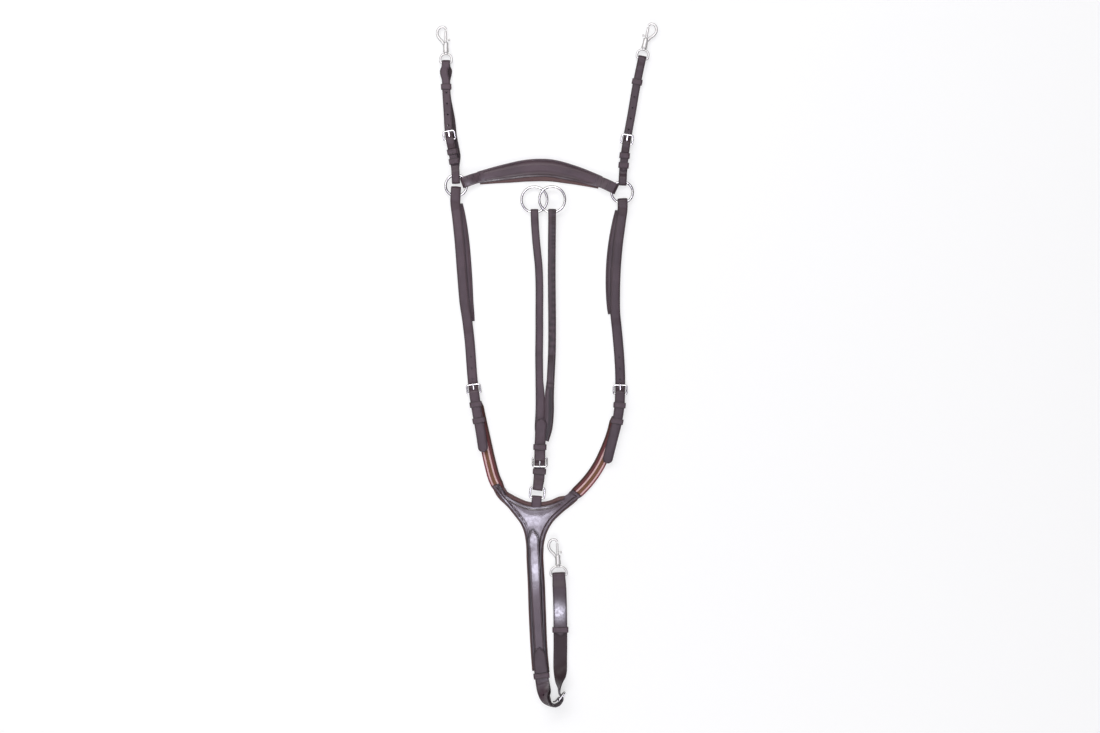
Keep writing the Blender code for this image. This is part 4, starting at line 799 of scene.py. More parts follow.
def snapPieces(name, place, strapWidth):
    # a trigger snap: swivel eye with its post, barrel with hook, and the bolt with its thumb nub
    eye, shoulder = size["eyeWire"], 14.5
    half = strapWidth / 2 + 0.9 + eye
    outline = roundCorners([(-half, 0, 0), (half, 0, 0), (half * 0.98, shoulder, 0), (-half * 0.98, shoulder, 0)],
                           [3.0, 3.0, half * 0.9, half * 0.9], 10)
    loop = closedWire(evenly(outline, 0.8), eye)
    foot = shoulder + 2.3
    post = turned(softened([(0, shoulder - 0.6), (3.3, shoulder - 0.6), (3.3, foot - 0.6), (1.9, foot),
                            (1.9, foot + 3.0), (2.7, foot + 3.0), (2.7, foot + 4.2), (0, foot + 4.2)]))
    metalPiece(name + "_swivel", name + "_swivel", place.put(loop), place.put(post))

    barrel = place.shifted(0, foot + 0.4, 0)
    ridges = [(r, y + up) for up in (0, 1.5) for r, y in ((4.2, 11.2), (4.42, 11.5), (4.42, 12.0), (4.2, 12.3))]
    profile = [(0, 4.2), (3.0, 4.2), (3.0, 2.3), (2.2, 2.3), (2.2, 0), (4.7, 0), (4.7, 1.6), (4.2, 2.1), *ridges,
               (4.2, 14.3), (3.6, 15.5), (0, 15.5)]
    body = metalPiece(name + "_body", name + "_body", barrel.put(turned(softened(profile, 0.2), 48)))
    line = [(-2.9, 12.5), (-5.6, 17.0), (-10.6, 22.5), (-13.6, 29.0), (-12.2, 36.0), (-7.2, 40.2), (-2.0, 39.6),
            (0.4, 36.3)]
    curve = curveThrough([(*p, 0) for p in line], 0.8)
    share = np.linspace(0, 1, len(curve))
    radius = 2.1 * (1.12 - 0.22 * share)
    ends, back = domed(radius[-1], 1.0)
    tip = curve[-1] + unit(curve[-1] - curve[-2]) * (back[:, None] * 0.5)
    hook = skin(wireRows(np.concatenate([curve, tip[1:]]), np.concatenate([radius, ends[::-1][1:]]), 20))
    bore = turned([(0, 3.6), (2.15, 3.6), (2.15, 23.5), (0, 23.5)], 32)
    carve(body, [looseShape(*barrel.put(hook))], "UNION", 50)
    carve(body, [blockShape(barrel, (1.0, 6.5, -1.7), (6.2, 17.5, 1.7)), looseShape(*barrel.put(bore))], sharp=50)

    rod = turned(softened([(0, 12.4), (1.8, 12.4), (1.8, 33.0), (1.1, 34.3), (0, 34.3)], 0.3), 32)
    nub = turned(softened([(0, 0.4), (1.15, 0.4), (1.15, 4.4), (1.9, 5.0), (1.9, 6.2), (1.3, 6.9), (0, 6.9)]), 24)
    raised = Place(barrel.shifted(0, 19.5, 0).origin, -barrel.axes[1], barrel.axes[0], barrel.axes[2])
    metalPiece(name + "_bolt", name + "_bolt", barrel.put(rod), raised.put(nub))


def wornStrap(node, route, runs, tools=(), material=strapLeather, body="breastplate", **looks):
    # a strap that stands for a node, with its slots and holes cut
    piece = strapPiece(node + "_leather", route, gathered(*runs), material, body, **looks)
    if tools:
        carve(piece, tools)
    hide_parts(node)
    return piece


def fromRing(centre, points):
    return Route([(centre[0], centre[1], 0, 0), *flat(points)])


def ringFold(ring, width, slack=0.0):
    # how far from a ring's centre a strap folds
    return math.sqrt(size[ring][0] ** 2 - (width / 2) ** 2) - slack


topPoints = {
    "left": [(-127.8, 560), (-131.8, 583), (-136.8, 609), (-139.8, 650), (-142.0, 690), (-142.3, 726)],
    "right": [(141.2, 556), (143.3, 578), (147.0, 603), (154.5, 645), (162.0, 689), (171.0, 733)]}


def topStrap(hand, snapHand, spread, slack, flare):
    # buckle bar, round the wither ring, up the back, round the snap's eye, down the front
    name = f"top_strap_{hand}"
    route = fromRing(witherRings[hand], topPoints[hand])
    w, t = size["top"]
    run = easer(w, t)
    gap, lift, c, ringHeight = size["gap"], size["lift"], size["chape"], size["ringHeight"]
    back, base = lift + t / 2, lift + t
    if spread:
        base += size["keeper"][0] + gap
    sBuckle = route.near(*topPoints[hand][2]) - 6.0
    sEye = route.length
    heights = buckleHeights(base, t)
    front = base + gap + t / 2
    radius = size["witherRing"][1] + gap + t / 2
    sRing = ringFold("witherRing", w)
    eyeRadius = size["eyeWire"] + gap + t / 2
    eyeHeight = back + eyeRadius
    tailEnd = sBuckle - 11
    layer = front + t + gap
    sTip = sRing + 19
    reach = size["reach"]
    halfWay = (eyeHeight + eyeRadius + front) / 2
    runs = [[(tailEnd, heights["tail"], w, c), (sBuckle - 4, heights["tail"], w, c)],
            fold(sBuckle, heights["pivot"], heights["fold"], -90, 90, w, c),
            ease((sBuckle - 3, heights["chape"], w, c), (tailEnd - 8, front, w, t), 1.5),
            run((tailEnd - 8, front), (sRing + 18, front)),
            run((sRing + 16, front + 0.3), (sRing + 6, ringHeight + radius), 1.5),
            fold(sRing - slack, ringHeight, radius, 90, 270, w, t),
            ease((sRing + 9, back, w, t), (sRing + 34, back, w, t, spread)),
            ease((sBuckle - 4, back, w, t, spread), (sBuckle + 14, back, w, t, spread)),
            ease((sBuckle + 20, back, w, t, spread), (sEye - 46, back, w, t)),
            ease((sEye - 31, back, w, t), (sEye - 14, back, w, t, flare)),
            ease((sEye - 12, back, w, t, flare), (sEye - 4, back, w, t, flare * 0.1), 1.5),
            fold(sEye, eyeHeight, eyeRadius, -90, 90, w, t),
            ease((sEye - 4, eyeHeight + eyeRadius, w, t, -flare * 0.1), (sEye - 13, halfWay, w, t, -flare), 1.5),
            ease((sEye - 15, halfWay, w, t, -flare), (sEye - 30, front, w, t), 1.5),
            run((sEye - 32, front), (sBuckle + reach + 2, heights["under"])),
            [(sBuckle + reach - 2, heights["under"], w, t)],
            run((sBuckle + reach - 4, heights["under"] + 0.3), (sBuckle + 1, heights["over"]), 1.5),
            run((sBuckle - 4, heights["over"]), (tailEnd - 9, layer), 1.5),
            run((tailEnd - 9, layer), (sTip + w / 2 + 1, layer + 0.4)),
            roundedTip((sTip, layer + 0.5, w, t), -1)]
    tools = prongSlots(route, sBuckle, heights, 1, base + gap / 2, True, True)
    tools += holeShapes(route, sBuckle + reach + 9 + size["holePitch"] * np.arange(4), base + 0.1, 0.05, t + 4)
    wornStrap(name, route, runs, tools, strapOf[hand], name, outer=1)
    bucklePiece(f"top_buckle_{hand}", name, route, sBuckle, heights, w, 1)
    prongPiece(f"top_prong_{hand}", route, sBuckle, heights, 1)
    high = layer + t / 2
    for k, (s, rise) in enumerate(((tailEnd - 8.5, 0.8), (tailEnd - 24, 0.3))):
        keeperPiece(f"top_keeper_{hand}_{k + 1}", name, route, s, base + gap if spread else lift, high + rise, w)
    runner = f"top_runner_{hand}"
    keeperPiece(runner, runner, route, sEye - 38, lift, front + t / 2, w)
    snapPieces(f"top_snap_{hand}", placeAt(route, sEye, eyeHeight, hand=snapHand), w)
    ringPiece(f"wither_ring_{hand}", (*witherRings[hand], ringHeight), "witherRing")


shoulderPoints = {
    "left": [(-127.2, 502), (-124.8, 482), (-121.2, 448), (-116.3, 386), (-112.5, 342), (-108.0, 312),
             (-105.2, 288), (-98.2, 206), (-93.4, 173), (-87.7, 142), (-82.0, 104)],
    "right": [(140.0, 494), (137.0, 470), (133.0, 440), (129.6, 402), (128.0, 356), (128.4, 325),
              (131.0, 300), (136.2, 205), (134.8, 176), (131.0, 152), (124.5, 126), (114.5, 86)]}


def shoulderStrap(hand, slack):
    # round the wither ring, along its pad, into the buckle of the elastic
    points = shoulderPoints[hand]
    route = fromRing(witherRings[hand], points)
    w, t = size["shoulder"]
    run = easer(w, t)
    gap, lift, reach, ringHeight = size["gap"], size["lift"], size["reach"], size["ringHeight"]
    sRing = ringFold("witherRing", w, slack)
    radius = size["witherRing"][1] + gap + t / 2
    sPad = ringFold("witherRing", w) + 14
    sPadEnd = route.near(*points[5])
    low = lift + t / 2
    onPad = size["pad"] + gap + t / 2
    sBuckle = route.near(*points[7]) + 8
    sTip = route.length
    c = 1.5
    heights = buckleHeights(0.0, t, c)
    layer = gap + c + gap + 1.8 + gap + size["keeper"][0] + gap
    upper, billet = layer + c / 2, layer + c + gap + t / 2
    top, under = ringHeight + radius, ringHeight - radius
    runs = [[(sPad - 1, under, w * 0.9, t), (sPad - 5, under, w, t), (sRing + 3, under, w, t)],
            fold(sRing, ringHeight, radius, 270, 90, w, t),
            run((sRing + slack + 6, top), (sPad + 12, onPad), 1.5),
            run((sPad + 20, onPad), (sPadEnd + 1, onPad)),
            run((sPadEnd + 3, onPad), (sPadEnd + 22, low), 2),
            run((sPadEnd + 26, low), (sBuckle - reach - 12, low)),
            run((sBuckle - reach - 8, low), (sBuckle - reach, heights["under"]), 1.5),
            run((sBuckle - reach + 3.2, heights["under"] + 0.4), (sBuckle - 1, heights["over"]), 1.5),
            run((sBuckle + 4, heights["over"]), (sBuckle + 14, billet), 1.5),
            run((sBuckle + 16, billet), (sTip - w / 2 - 1, billet)),
            roundedTip((sTip, billet, w, t), 1)]
    tools = prongSlots(route, sBuckle, heights, -1, 0.0, False, True)
    tools += holeShapes(route, sBuckle - reach - 9 - size["holePitch"] * np.arange(3), 2.4, 0, 6)
    wornStrap(f"shoulder_strap_{hand}", route, runs, tools, strapOf[hand], crest=0.35)
    chape = [[(sBuckle + 30, gap + c / 2, w, c)],
             ease((sBuckle + 20, gap + c / 2, w, c), (sBuckle + 4, gap + c / 2, w, c)),
             fold(sBuckle, heights["pivot"], heights["fold"], 270, 90, w, c),
             ease((sBuckle + 3, heights["chape"], w, c), (sBuckle + 13, upper, w, c), 1.5),
             ease((sBuckle + 16, upper, w, c), (sTip - 12, upper, w, c))]
    wornStrap(f"elastic_chape_{hand}", route, chape, prongSlots(route, sBuckle, heights, -1, -0.5, True, False),
              crown=0.0)
    bucklePiece(f"shoulder_buckle_{hand}", "breastplate", route, sBuckle, heights, w, -1)
    prongPiece(f"shoulder_prong_{hand}", route, sBuckle, heights, -1)
    for k, s in enumerate((sBuckle + 18, sBuckle + 44)):
        keeperPiece(f"shoulder_keeper_{hand}_{k + 1}", "breastplate", route, s, layer, billet + t / 2, w)
    return route, sPad, sPadEnd


forkPoints = {
    "left": [(-0.6, 480), (2.0, 440), (5.6, 405), (7.0, 310), (7.0, 219), (8.2, 195), (8.2, 168), (6.8, 141),
             (8.6, 121)],
    "right": [(27.4, 480), (27.0, 440), (26.8, 405), (25.0, 219), (23.1, 195), (22.8, 168), (20.5, 141), (15.4, 121)]}
forkLow = size["lift"] + size["fork"][1] * 1.5 + size["chape"] + 2 * size["gap"]
forkJoin = (12.5, 14.6, 15.0, 14.4, 12.6)


def forkLeg(hand):
    # one leg, from under its ring's fold down to the join
    z = forkRings[hand][2]
    w, t = size["fork"]
    run = easer(w, t)
    gap = size["gap"]
    route = fromRing(forkRings[hand], forkPoints[hand])
    sRing = ringFold("forkRing", w)
    radius = size["forkRing"][1] + gap + t / 2
    under = z - radius
    onTail, level = max(forkLow, under + t + gap), max(forkLow, under)
    ends = [(route.near(*place), wide) for place, wide in zip(forkPoints[hand][-5:], forkJoin)]
    s = np.arange(ends[0][0], ends[-1][0], 2.5)
    runs = [[(sRing + 24, under, w * 0.8, t), (sRing + 19, under, w, t), (sRing + 3, under, w, t)],
            fold(sRing, z, radius, 270, 90, w, t),
            run((sRing + 5, z + radius), (sRing + 22, onTail), 1.5),
            run((sRing + 27, onTail), (sRing + 60, level)),
            run((sRing + 80, level), (sRing + 230, forkLow), 5),
            stations(s, forkLow, np.interp(s, *zip(*ends)), t, 0)]
    return strapPiece(f"fork_leg_{hand}", route, gathered(*runs), strapLeather, "fork")


def forkPieces():
    w, t = size["tail"], 2.4
    run = easer(w, t)
    gap, lift, c, reach = size["gap"], size["lift"], size["chape"], size["reach"]
    route = Route(flat([(4.4, 47.0), (6.0, 58), (7.4, 80), (8.0, 116), (9.2, 140), (11.4, 166)]))
    base = lift + t
    heights = buckleHeights(base, t)
    sBuckle = route.near(7.7, 95)
    top = heights["chape"]
    runs = [[(sBuckle + 26, heights["tail"], w, c), (sBuckle + 4, heights["tail"], w, c)],
            fold(sBuckle, heights["pivot"], heights["fold"], 270, 90, w, c),
            ease((sBuckle + 3, top, w, c), (sBuckle + 30, forkLow + 0.3, w, t), 2),
            run((sBuckle + 34, forkLow), (sBuckle + 56, forkLow)),
            [(sBuckle + 62, forkLow, w - 4, t)]]
    tail = strapPiece("fork_leather", route, gathered(*runs), strapLeather, "fork", crown=0.0)
    legs = []
    for hand in hands:
        legs.append(forkLeg(hand))
        ringPiece(f"fork_ring_{hand}", forkRings[hand], "forkRing")
    carve(tail, legs, "UNION")
    carve(tail, prongSlots(route, sBuckle, heights, -1, base + gap / 2, True, False))
    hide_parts("fork_strap")

    wire, dee = size["dee"]
    back, radius, front = lift + t / 2, wire + gap + t / 2, forkLow + t + gap
    sTip = sBuckle + 62
    near = w * 0.93
    runs = [[(sBuckle + 40, back, w, t)],
            run((sBuckle + 28, back), (14, back)),
            ease((11, back, w, t), (4, dee - radius, near, t), 1.5),
            fold(0.0, dee, radius, 270, 90, near, t),
            ease((4, dee + radius, near, t), (14, heights["under"] + 0.8, w, t), 1.5),
            run((15, heights["under"] + 0.6), (sBuckle - reach, heights["under"])),
            run((sBuckle - reach + 3.2, heights["under"] + 0.4), (sBuckle - 1, heights["over"]), 1.5),
            run((sBuckle + 4, heights["over"]), (sBuckle + 30, front + 0.4), 2),
            run((sBuckle + 34, front), (sTip - w / 2 - 1, front)),
            roundedTip((sTip, front, w, t), 1)]
    wornStrap("fork_billet", route, runs, prongSlots(route, sBuckle, heights, -1, 0.0, False, True), body="fork")
    bucklePiece("fork_buckle", "fork", route, sBuckle, heights, w, -1)
    prongPiece("fork_prong", route, sBuckle, heights, -1)
    keeperPiece("fork_keeper_1", "fork", route, sBuckle + 17, lift, heights["over"] + t / 2 - 0.4, w)
    keeperPiece("fork_keeper_2", "fork", route, sBuckle - reach - 8, lift, heights["under"] + t / 2 + 0.5, w)


def deePieces():
    half = size["tail"] * 0.93 / 2 + 3.2
    wire, height = size["dee"]
    x, y, lean = 3.0, 31.0, math.radians(5.0)
    outline = roundCorners([(-half, 0, 0), (half, 0, 0), (half, 16.5, 0), (-half, 16.5, 0)], [1.9, 1.9, 3.4, 3.4])
    right, ahead = (math.cos(lean), -math.sin(lean), 0), (math.sin(lean), math.cos(lean), 0)
    place = Place((x, y, height), right, ahead, (0, 0, 1))
    metalPiece("chest_dee", "dee", place.put(closedWire(evenly(outline, 0.8), wire)))
    bar, direction = np.array((x, y)), np.array(ahead[:2])
    route = Route(flat([bar - direction * back for back in (30, 15, 0)]))
    w, c = 16, size["chape"]
    radius = wire + size["gap"] + c / 2
    top = size["pad"] + size["face"] + 2 * size["gap"] + c / 2
    runs = [ease((15.0, top, 15.0, c), (24, top, w, c), 1.5), ease((25.5, top, w, c), (29, height + radius, w, c), 1),
            fold(30, height, radius, 90, -90, w, c), [(29, height - radius, w, c), (26.5, height - radius, w, c)]]
    wornStrap("chest_chape", route, runs, crown=0.0)


girthPoints = [
    (-3.4, -20, 7.2, 0), (-0.6, -70, 7.2, 0), (2.6, -140, 7.2, 0), (6.6, -205, 7.2, 0), (9.2, -240, 7.2, 0),
    (11.0, -257, 7.2, 0), (12.0, -263, 7.2, 0), (16.4, -278.4, 9.0, 25), (22.0, -290, 13.0, 60),
    (30.6, -295.0, 15.2, 87), (37.2, -290.0, 15.4, 90), (38.6, -281, 15.4, 91), (39.4, -271, 15.0, 98),
    (40.0, -257, 10.6, 136), (40.2, -240, 6.2, 171), (40.6, -205, 5.2, 180), (40.4, -160, 5.2, 180),
    (39.4, -120, 5.2, 180), (38.0, -93.0, 5.2, 180)]


def girthPieces():
    # a pointed overlay on the stem carries the buckle; the billet under it comes back beside the chest
    route = Route(girthPoints)
    w, t = size["girth"]
    run = easer(w, t)
    gap, reach, c = size["gap"], size["reach"], size["chape"]
    over = 16.0
    sBuckle = route.near(37.2, -289.5)
    heights = buckleHeights(-2.2, t)
    level = t / 2
    sBend = route.near(11.4, -258) + 8
    k = np.array([0.0, 0.5, 1.1, 2.0, 3.4, 5.0, 7.0, 9.0, 11.5, 14.0])
    point = stations(k, level, np.interp(k, [0, 2, 5, 9, 14], [0.6, 4.2, 9.4, 14.4, over]), t, 0)
    runs = [point, ease((14, level, over, t), (route.near(9.2, -236), level, over, t)),
            run((route.near(9.2, -242), level), (sBend - 1, level)),
            run((sBend, level), (sBuckle - 18, level), 1.75),
            ease((sBuckle - 18, level, w, t), (sBuckle - 3, heights["chape"], w, c), 1.5),
            fold(sBuckle, heights["pivot"], heights["fold"], 90, -90, w, c),
            ease((sBuckle - 3, heights["tail"], w, c), (sBuckle - 9, heights["tail"], w, c), 1.5)]
    tools = prongSlots(route, sBuckle, heights, 1, heights["tail"] - 2, True, False)
    piece = wornStrap("girth_overlay", route, runs, tools, glossLeather, crown=0.1, crease=0.22)
    burnish(piece, [(0, -34, 13, 22, 0.95), (1, -78, 11, 30, 1.0)])

    layer = t + gap + t / 2
    eyeRadius = size["eyeWire"] + gap + t / 2
    sEye = route.length
    eyeHeight = t / 2 - eyeRadius
    narrow = 20.7
    sTip = route.near(6.8, -208)
    loose = layer + 0.35
    back = -level - gap
    end = sBuckle + reach
    runs = [pointedTip((sTip, layer, w - 2, t), -1, 15.0)[::-1],
            ease((sTip + w / 2 + 6, layer, w - 1.5, t), (sBend - 1, layer, w, t)),
            run((sBend, loose), (sBuckle - 18, loose), 1.75),
            run((sBuckle - 18, loose), (sBuckle - 3, heights["over"] + 0.3), 1.5),
            run((sBuckle + 1, heights["over"]), (end - 3.6, heights["under"] + 0.5), 1.5),
            run((end, heights["under"]), (end + 4, heights["under"]), 2),
            run((end + 6, heights["under"]), (end + 42, level), 2),
            run((end + 50, level), (sEye - 26, level)),
            ease((sEye - 18, level, w, t), (sEye - 2, level, narrow, t), 2),
            fold(sEye, eyeHeight, eyeRadius, 90, -90, narrow, t),
            ease((sEye - 3, eyeHeight - eyeRadius, narrow, t), (sEye - 22, back, w, t), 1.5),
            run((sEye - 30, back), (sEye - 84, back)),
            pointedTip((sEye - 96, back, w, t), -1, 12.0)]
    tools = prongSlots(route, sBuckle, heights, 1, 0.0, False, True)
    tools += holeShapes(route, (sBuckle - 16, sBuckle - 27), 3.6, -0.15, 7)
    piece = wornStrap("girth_billet", route, runs, tools, paintedShadeLeather)
    burnish(piece, [(37, -151, 14, 15, 1.1), (30, -270, 14, 18, 0.4)])
    bucklePiece("girth_buckle", "breastplate", route, sBuckle, heights, w, 1)
    prongPiece("girth_prong", route, sBuckle, heights, 1)
    keeperPiece("girth_keeper", "breastplate", route, route.near(10.3, -252.6), 0.0, layer + t / 2, w)
    keeperPiece("girth_snap_keeper", "breastplate", route, route.near(40, -180), back - t / 2, t, w)
    snapPieces("girth_snap", placeAt(route, sEye, eyeHeight, hand=-1), narrow)
    return route


topStrap("left", 1, 5.5, 8.0, 3.2)
topStrap("right", -1, 0.0, 0.0, 0.0)
print("top straps made")
shoulders = {hand: shoulderStrap(hand, slack) for hand, slack in zip(hands, (8.0, 0.0))}
print("shoulder straps made")
forkPieces()
deePieces()
print("fork made")
girthRoute = girthPieces()
print("girth strap made")


# soft pieces: closed bodies over an outline of four sides, with a height for each distance from its edge

def along(path, t):
    # points at shares t of a path's length
    run = lengths(path)
    return pointsAt(path, run, t * run[-1])


def patchAt(sides, u, v):
    # Coons patch: top and bottom blended over v, plus left and right blended over u, less the blended corners
    top, bottom, left, right = (along(side, t) for side, t in zip(sides, (u, u, v, v)))
    u, v = u[..., None], v[..., None]
    a, b, c, d = (side[end] for side, end in ((sides[0], 0), (sides[0], -1), (sides[1], 0), (sides[1], -1)))
    return ((1 - v) * top + v * bottom + (1 - u) * left + u * right
            - (1 - u) * (1 - v) * a - u * (1 - v) * b - (1 - u) * v * c - u * v * d)


def graded(total, inward, count):
    # shares of a length that lie close together near both ends
    edge = np.asarray(inward)[None] / np.asarray(total, float)[:, None]
    reach = edge[:, -1:]
    middle = reach + (1 - 2 * reach) * np.linspace(0, 1, count + 2)[None, 1:-1]
    return np.concatenate([edge, middle, 1 - edge[:, ::-1]], 1)


def edgeDistance(points, outline, block=4000):
    # how far each point is from the nearest side of a closed outline, in blocks to save memory
    a, b = outline, np.roll(outline, -1, 0)
    step = b - a
    span = np.maximum((step ** 2).sum(1), 1e-9)
    found = []
    for k in range(0, len(points), block):
        p = points[k:k + block, None]
        t = clamp(((p - a) * step).sum(-1) / span)
        found.append(np.sqrt((((p - a) - t[..., None] * step) ** 2).sum(-1)).min(1))
    return np.concatenate(found)


bandInward = [0.0, 0.1, 0.3, 0.6, 1.0, 1.5, 2.0, 2.4, 2.7, 3.0, 3.3, 3.6, 4.0, 4.6, 5.6]
seamInward = [0.0, 0.1, 0.3, 0.6, 1.0, 1.5, 2.2, 3.0, 3.7, 4.1, 4.4, 4.7, 5.0, 5.3, 5.6, 5.9, 6.3, 7.0]


# darker within about a millimetre of a cut edge: partly the dyed edge, partly painted shade where it rounds over
def edgeDyeAndShade(away):
    return clamp(1.15 - away * 0.9)


def patchPiece(name, sides, top, low, material, slot="leather", columns=24, rows=110, inward=bandInward,
               edge=edgeDyeAndShade):
    # top and low give heights from the distance to the edge and the place
    inward = np.array(inward)
    u, v = np.linspace(0, 1, 60), np.linspace(0, 1, 120)
    fine = patchAt(sides, *np.meshgrid(u, v))
    wide = np.linalg.norm(np.diff(fine, axis=1), axis=2).sum(1)
    long = np.linalg.norm(np.diff(fine, axis=0), axis=2).sum(0)
    narrow = wide.min() < 2.3 * inward[-1]
    aside = np.minimum(inward, wide.min() * 0.45 * inward / inward[-1]) if narrow else inward
    gradedU, gradedV = graded(wide, aside, columns), graded(long, inward, rows)
    grid = patchAt(sides, np.stack([np.interp(gradedV.mean(0), v, shares) for shares in gradedU.T], 1),
                   np.stack([np.interp(gradedU.mean(0), u, shares) for shares in gradedV.T], 0))
    outline = np.concatenate([sides[0][:-1], sides[3][:-1], sides[1][::-1][:-1], sides[2][::-1][:-1]])
    places = grid.reshape(-1, 2)
    away = edgeDistance(places, outline)
    vertices = np.concatenate([np.column_stack([places, height(away, places)]) for height in (top, low)])
    count = len(places)
    quads = gridFaces(*grid.shape[:2])
    index = np.arange(count).reshape(grid.shape[:2])
    rim = np.concatenate([index[0, :-1], index[:-1, -1], index[-1, :0:-1], index[:0:-1, 0]])
    after = np.roll(rim, -1)
    wall = np.stack([rim + count, after + count, after, rim], 1)
    return makePiece(name, vertices, [np.concatenate([quads, quads[:, ::-1] + count, wall])], material,
                     "breastplate", slot, np.tile(places, (2, 1)), np.tile(edge(away), 2))


def paddedEdge(low, high, reach, crown=0.0, crownReach=12.0, groove=0.0, at=3.0, wide=0.42):
    # a quarter round from low to high over the reach, plus a smooth crown, less a bell as the stitched groove
    def height(away, place):
        rise = (1 - (1 - clamp(away / reach)) ** 2) ** 0.5
        swell = crown * smooth((away - at) / crownReach)
        return low + (high - low) * rise + swell - groove * bell(away, at, wide)
    return height


def underEdge(low, tuck, reach):
    # flat at low, and raised by up to tuck towards the edge, as a square
    def height(away, place):
        return low + tuck * (1 - clamp(away / reach)) ** 2
    return height


chestLeft = [(-43.4, 15.4), (-32.0, 1.4), (-22.8, -11.4), (-17.2, -25.7), (-14.6, -41.6), (-13.5, -68.8),
             (-11.8, -102.4), (-10.2, -152.0), (-6.7, -218.4), (-4.6, -246.0)]
chestRight = [(23.4, -248.0), (20.6, -218.4), (17.6, -152.0), (15.7, -102.4), (13.2, -62.4), (15.4, -37.9),
              (20.8, -21.4), (28.3, -8.6), (42.9, 6.1)]
chestNeckline = [(38.8, 33.0), (24.6, 27.0), (10.0, 24.2), (-8.5, 24.2), (-24.6, 30.0)]


def smoothLine(points, step=1.5):
    return curveThrough([(x, y, 0) for x, y in points], step)[:, :2]


def chestSides(leftArm, rightArm, inset=0.0, neckInset=0.0):
    # top, bottom, left and right of the Y, drawn in by a distance, and by more at the neckline
    down = smoothLine(leftArm[0] + chestLeft)
    up = smoothLine(chestRight + rightArm[0])
    neck = smoothLine(rightArm[1] + chestNeckline + leftArm[1])
    outline = np.concatenate([down, up, neck])
    if inset:
        ahead = unit(np.roll(outline, -1, 0) - np.roll(outline, 1, 0))
        ends = np.minimum(np.arange(len(neck)), np.arange(len(neck))[::-1]) * 1.5
        drawnIn = np.concatenate([inset * smooth(np.arange(len(down)) / 10),
                                  inset * smooth(np.arange(len(up))[::-1] / 10),
                                  inset + neckInset * smooth((ends - 6) / 16)])
        outline = outline + np.stack([-ahead[:, 1], ahead[:, 0]], 1) * drawnIn[:, None]
    n, m = len(down), len(down) + len(up)
    left, right, top = outline[:n], outline[n:m][::-1], outline[m:][::-1]
    return np.concatenate([left[:1], top, right[:1]]), np.stack([left[-1], right[-1]]), left, right


leatherArm = [(-69.5, 49.5), (-58.6, 33.4)], [(-38.4, 37.8), (-50.6, 48.8), (-58.2, 55.6)]
leatherNeck = [(61.4, 46.0), (54.0, 40.2)]


def chestPieces():
    sides = chestSides(([(-66.0, 42.5), (-61.0, 33.6)], [(-37.0, 36.4), (-45.0, 41.6), (-48.4, 49.5)]),
                       ([(62.4, 22.0), (68.5, 27.5)], [(57.5, 44.0), (51.8, 35.8)]))
    flatEdge = paddedEdge(1.0, size["pad"], 1.7)

    def rolled(away, place):
        # the flat pad, plus a roll of half round section along the neckline
        gone = np.sqrt(((place[:, None] - sides[0][None]) ** 2).sum(-1).min(1))
        return flatEdge(away, place) + 2.2 * np.sqrt(clamp(1 - ((gone - 3.2) / 3.3) ** 2)) * clamp(away / 0.8)

    padding = patchPiece("chest_roll", sides, rolled, underEdge(0.0, 1.0, 1.4), rollLeather, "lining", 26, 110,
                         [0, 0.06, 0.2, 0.4, 0.7, 1.0, 1.5, 2.2, 3.0, 3.8, 4.6, 5.4, 6.0, 6.6],
                         lambda away: 0.5 * edgeDyeAndShade(away))
    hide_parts("chest_padding")
    base = size["pad"] + size["gap"]
    # its edge attribute adds painted shade along the stitched groove 5 mm in from the edge
    face = patchPiece("chest_leather", chestSides(leatherArm, ([(59.0, 19.6), (75.0, 33.4)], leatherNeck), 1.8, 4.4),
                      paddedEdge(base + 0.7, base + 2.2, 2.2, 0.55, 12.0, 0.7, 5.0, 0.7),
                      underEdge(base, 0.3, 0.8), glossLeather, "leather", 30, 150, seamInward,
                      lambda away: np.maximum(edgeDyeAndShade(away), 0.9 * bell(away, 5.0, 0.6)))
    burnish(face, [(-5, 0, 28, 20, 1.0), (-42, 25, 16, 12, 0.8), (16, 9, 14, 13, 0.7), (-2, -30, 13, 22, 0.8)])
    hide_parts("chest_face")


def inLine(route, s, side):
    return route.points(np.asarray(s, float), 0, side)[:, :2]


def routeSides(route, s, rightEdge, leftEdge):
    # sides of a strip along a route: its start, its end, and its edges to the right and left
    right, left = inLine(route, s, rightEdge), inLine(route, s, leftEdge)
    return np.stack([left[0], right[0]]), np.stack([left[-1], right[-1]]), left, right


